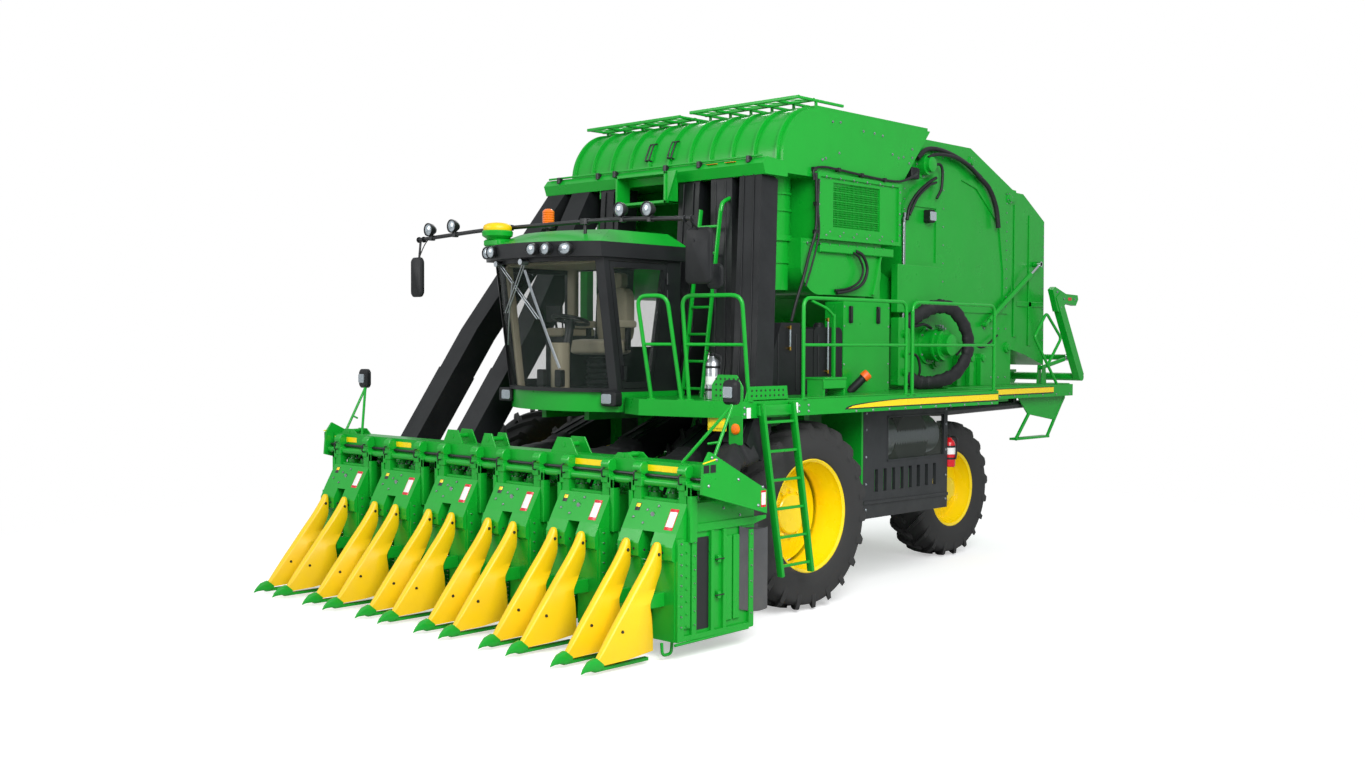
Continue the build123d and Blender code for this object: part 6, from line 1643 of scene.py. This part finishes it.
@dataclass
class Guards:
    """The left guard's clear window, the rotary screen behind it, edge folds and bolts."""

    x: float = 2.0

    def build(self) -> None:
        """Build the guards' pieces."""
        pane = brick((self.x - 0.028, self.x - 0.022), (1.56, 2.74), (1.42, 1.95), X, 0.02, 0.001)
        Stock().add(pane).piece("guard_window", WINDOW)
        ribs = [(y, 0.228 - 0.012 * (n % 2)) for n, y in enumerate(np.linspace(1.6, 2.7, 45))]
        screen = turned([(1.6, 0.01), *ribs, (2.7, 0.01)], (1.72, 0.0, 1.68), Y, 48)
        Stock().add(screen).piece("rotary_screen", ZINC)
        trim, flush = Stock(), about(self.x, 0.006)
        for y, z in (((1.565, 1.585), (1.43, 1.94)), ((2.715, 2.735), (1.43, 1.94)),
                     ((1.565, 2.735), (1.43, 1.45)), ((1.565, 2.735), (1.92, 1.94))):
            trim.add(brick(flush, y, z, X, 0.006, 0.002))
        for y in ((1.2, 1.52), (1.62, 2.1), (2.2, 2.72)):
            trim.add(brick((self.x, self.x + 0.018), y, (0.975, 1.0), X, 0.01, 0.006))
        trim.add(brick((self.x - 0.03, self.x + 0.004), (1.112, 1.13), (0.83, 2.02), X, 0.006, 0.002))
        trim.piece("guard_trim", GUARD)
        around = [(self.x, y, z) for y, z in product((1.17, 2.765), (0.92, 1.2, 1.5, 1.8, 1.98))]
        Stock().add_both(bolts(around, X, 0.01, 0.01)).piece("guard_bolts", ZINC)


@dataclass
class Handler:
    """The module handler's reflectors and bolts."""

    side: float = 1.52

    def build(self) -> None:
        """Build the handler's pieces."""
        lens = brick((self.side, self.side + 0.004), (6.62, 6.72), (3.36, 3.4), X, 0.004, 0.001)
        Stock().add_both(lens).piece("handler_reflectors", RED, "handler")
        places = [(self.side, y, z) for y, z in ((6.3, 3.47), (6.5, 3.38), (6.8, 3.38), (6.42, 3.26))]
        Stock().add_both(bolts(places, X, 0.013, 0.014)).piece("handler_bolts", ZINC, "handler")


@dataclass
class Ducts(Assembly):
    """Pressed creases down the air ducts, and the boots that join them to the row units."""

    parts = ("creases", "boots")

    def station(self, x: float, y: float, z: float, tilt: float, across: float) -> tuple:
        """A point on a duct's front face: half the depth out along (0, -cos tilt, sin tilt)."""
        a = math.radians(tilt)
        return (x + across, y - 0.148 * math.cos(a), z + 0.148 * math.sin(a))

    def creases(self) -> None:
        """Two raised creases down the front of each duct."""
        table = [[(0.5325, -1.0, 1.6, 70), (0.5325, -0.37, 1.85, 45), (0.62, -0.17, 2.7, 5),
                  (0.62, -0.075, 4.44, 10)],
                 [(1.4475, -1.08, 1.56, 70), (1.4475, -0.64, 1.8, 45), (1.42, -0.45, 2.5, 10),
                  (1.08, -0.075, 4.44, 10)],
                 [(2.18, -1.12, 1.7, 40), (2.15, -0.96, 1.95, 25), (1.98, -0.72, 2.6, 25),
                  (1.48, -0.09, 4.44, 25)]]
        ribs = Stock()
        for stations in table + [[(-x, y, z, t) for x, y, z, t in table[0]]]:
            for across in (-0.07, 0.07):
                path = [self.station(*s, across) for s in stations]
                ribs.add(carry(rounded_box(0.016, 0.014, 0.004, 3), path, None))
        ribs.piece("duct_creases", BLACK_PE, angle=60)

    def boots(self) -> None:
        """A soft boot from each unit's outlet to its duct: a rounded rectangle carried round the elbow.

        Its pleats are a sine on the section's size; the boot rides on no body.
        """
        mouths = [(0.4825, 0.5325, -1.0, 1.6), (1.4475, 1.4475, -1.08, 1.56), (2.4125, 2.18, -1.12, 1.7),
                  (-0.4825, -0.5325, -1.0, 1.6)]
        count = 34
        t = np.linspace(0, 1, count)[:, None, None]
        for n, (row_x, x, y, z) in enumerate(mouths):
            path = smooth([(row_x, -1.7, 1.4), (row_x, -1.69, 1.5), ((row_x + x) / 2, -1.48, z - 0.07),
                           (x, y - 0.16, z - 0.055), (x, y + 0.03, z + 0.01)], count)
            pleat = 1 + 0.035 * np.sin(np.arange(count) * 1.6)[:, None, None] * np.sin(math.pi * t)
            size = np.concatenate([0.27 + 0.045 * t, 0.13 + 0.17 * t], axis=2) * pleat
            boot = Stock().add(carry(rounded_box(1.0, 1.0, 0.2, 4)[None] * size, path, None))
            boot.piece(f"duct_boot_{n + 1}", FLAP_BLACK, angle=60,
                       bends=("header", "chassis", (x, -1.62, z), (x, y - 0.05, z)))
        lower = Stock()
        for row_x in (-2.4125, -1.4475):
            path = smooth([(row_x, -1.7, 1.4), (row_x, -1.68, 1.46), (row_x + 0.005, -1.63, 1.56)], 12)
            lower.add(carry(rounded_box(0.3, 0.24, 0.05, 4), path, None))
        lower.piece("outlet_boots", FLAP_BLACK, "header", angle=60)


# ---- Studio ----------------------------------------------------------------------------------
@dataclass
class Studio:
    """Camera at the machine's front left, pale floor, white surround and soft lamps."""

    place: tuple[float, float, float] = (10.8304, -11.1241 + AXLE_Y, 2.7557)
    turn_degrees: float = 43.34
    dip_degrees: float = 1.765
    roll_degrees: float = 0.27
    lens_mm: float = 36.2

    def camera(self) -> None:
        """Set the camera: looking along (-sin a cos e, cos a cos e, -sin e) from its place."""
        a, e = math.radians(self.turn_degrees), math.radians(self.dip_degrees)
        forward = np.array([-math.sin(a) * math.cos(e), math.cos(a) * math.cos(e), -math.sin(e)])
        right = np.array([math.cos(a), math.sin(a), 0.0])
        axes = np.stack([right, np.cross(right, forward), -forward], axis=1)
        camera = bpy.data.cameras.new("camera")
        camera.sensor_width, camera.lens = 36.0, self.lens_mm
        camera.clip_end = 200.0
        made = bpy.data.objects.new("camera", camera)
        made.matrix_world = (Matrix.Translation(self.place) @ Matrix(axes.tolist()).to_4x4()
                             @ Matrix.Rotation(math.radians(self.roll_degrees), 4, "Z"))
        bpy.context.collection.objects.link(made)
        bpy.context.scene.camera = made

    def seen(self, nodes: Nodes) -> Socket:
        """A factor that is 1 for camera rays and 0 for the rays that light the machine."""
        return nodes.add("LightPath", out="Is Camera Ray")

    def surround(self) -> None:
        """A white surround that lights the machine softly."""
        world = bpy.data.worlds.new("surround")
        nodes = Nodes(world)
        soft = nodes.add("Background", {"Color": linear("#f2f5f8"), "Strength": 0.62})
        white = nodes.add("Background", {"Color": linear("#ffffff"), "Strength": 1.0})
        nodes.add("OutputWorld",
                  {"Surface": nodes.add("MixShader", {0: self.seen(nodes), 1: soft, 2: white})})
        bpy.context.scene.world = world

    def floor(self) -> None:
        """A pale matt floor that keeps the machine's shadow and fades into the surround."""
        mesh = bpy.data.meshes.new("floor")
        half = 90.0
        mesh.from_pydata([(-half, -half, 0), (half, -half, 0), (half, half, 0), (-half, half, 0)], [],
                         [(0, 1, 2, 3)])
        made = bpy.data.objects.new("floor", mesh)
        bpy.context.collection.objects.link(made)
        finish = bpy.data.materials.new("pale_floor")
        nodes = Nodes(finish)
        matt = nodes.add("BsdfDiffuse", {"Color": linear("#e8e8e8")})
        glow = nodes.add("Emission", {"Color": linear("#ffffff"), "Strength": 0.45})
        pale = nodes.add("AddShader", {0: matt, 1: glow})
        dull = nodes.add("BsdfDiffuse", {"Color": linear("#c4c4c4")})
        away = nodes.add("VectorMath", {0: nodes.place()}, "Value", operation="LENGTH")
        far = nodes.add("MapRange", {"Value": away, "From Min": 5.0, "From Max": 11.0},
                        interpolation_type="SMOOTHSTEP")
        white = nodes.add("Emission", {"Color": linear("#ffffff"), "Strength": 1.0})
        near = nodes.add("MixShader", {0: far, 1: pale, 2: white})
        nodes.add("OutputMaterial",
                  {"Surface": nodes.add("MixShader", {0: self.seen(nodes), 1: dull, 2: near})})
        mesh.materials.append(finish)

    def lamps(self) -> None:
        """Three large soft lamps: the key over the left front, weaker ones in front and right rear."""
        table = (("key", (12.0, -8.5, 10.0), (0.0, 0.5, 2.0), 9.0, 2150.0),
                 ("front", (-8.0, -16.0, 8.0), (0.0, -1.0, 1.5), 8.0, 700.0),
                 ("fill", (-9.0, 12.0, 11.0), (0.0, 1.0, 2.0), 9.0, 700.0))
        for name, place, aim, size, watts in table:
            light = bpy.data.lights.new(name, "AREA")
            light.shape, light.size, light.energy = "DISK", size, watts
            made = bpy.data.objects.new(name, light)
            way = np.array(place) - np.array(aim)
            way /= np.linalg.norm(way)
            side = np.cross((0, 0, 1), way)
            side /= np.linalg.norm(side)
            axes = np.stack([side, np.cross(way, side), way], axis=1)
            made.matrix_world = Matrix.Translation(place) @ Matrix(axes.tolist()).to_4x4()
            bpy.context.collection.objects.link(made)

    def build(self) -> None:
        """Set up the camera, surround, floor and lamps."""
        bpy.context.scene.view_settings.view_transform = "Standard"
        self.camera()
        self.surround()
        self.floor()
        self.lamps()


# ---- The frame's own nodes -------------------------------------------------------------------
NODES_OF = {
    CAST: "front_axle rear_axle knuckle_left knuckle_right engine_block",
    GREEN: """chassis_frame frame_brackets deck_bearers decks rails_and_ladders bin_posts cab_base cab_roof
              service_cabinet engine_bay_panels accumulator feeder_housing module_chamber gate_shell
              bin_grilles header_toolbar row_cases row_cabinets lifter_shoes handler_frame tow_hitch
              gate_barrels handler_barrels lift_barrels""",
    BLACK: "cab_frame roof_visor door_frame lamp_bar mirrors exhaust_pipe header_lamps",
    YELLOW: "front_rims_left front_rims_right rear_rim_left rear_rim_right",
    BLACK_PE: "air_ducts duct_sleeves deck_tanks",
    GLASS: "cab_glass door_glass",
    CHROME: "gate_rods handler_rods lift_rods",
    GUARD: "side_guards", ZINC: "chamber_rollers", FLAP: "unit_covers", YELLOW_PE: "stalk_lifters",
    TRIM: "cab_furniture", REFLECTOR: "work_lamps", AMBER: "roof_beacons", RED: "extinguishers",
}
NODE_FINISH = {name: finish for finish, names in NODES_OF.items() for name in names.split()}


def dress_nodes(nodes: dict) -> None:
    """Give each CAD node's object its finish.
    """
    for name, made in nodes.items():
        finish = NODE_FINISH.get(name)
        if finish is None or made.type != "MESH":
            LOG.warning("node %s keeps its packed finish", name)
            continue
        made.data.materials.clear()
        made.data.materials.append(finish.material())


def main() -> None:
    """Load the frame, dress it, add each sub-assembly and set the studio."""
    logging.basicConfig(level=logging.INFO, format="%(name)s: %(message)s")
    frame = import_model()
    Studio().build()
    dress_nodes(frame["nodes"])
    for assembly in (Wheels(), Header(), Cab(), Bin(), Chamber(), Gate(), Deck(), Guards(), Handler(),
                     Ducts()):
        LOG.info("building %s", type(assembly).__name__)
        assembly.build()


if __name__ == "__main__":
    main()
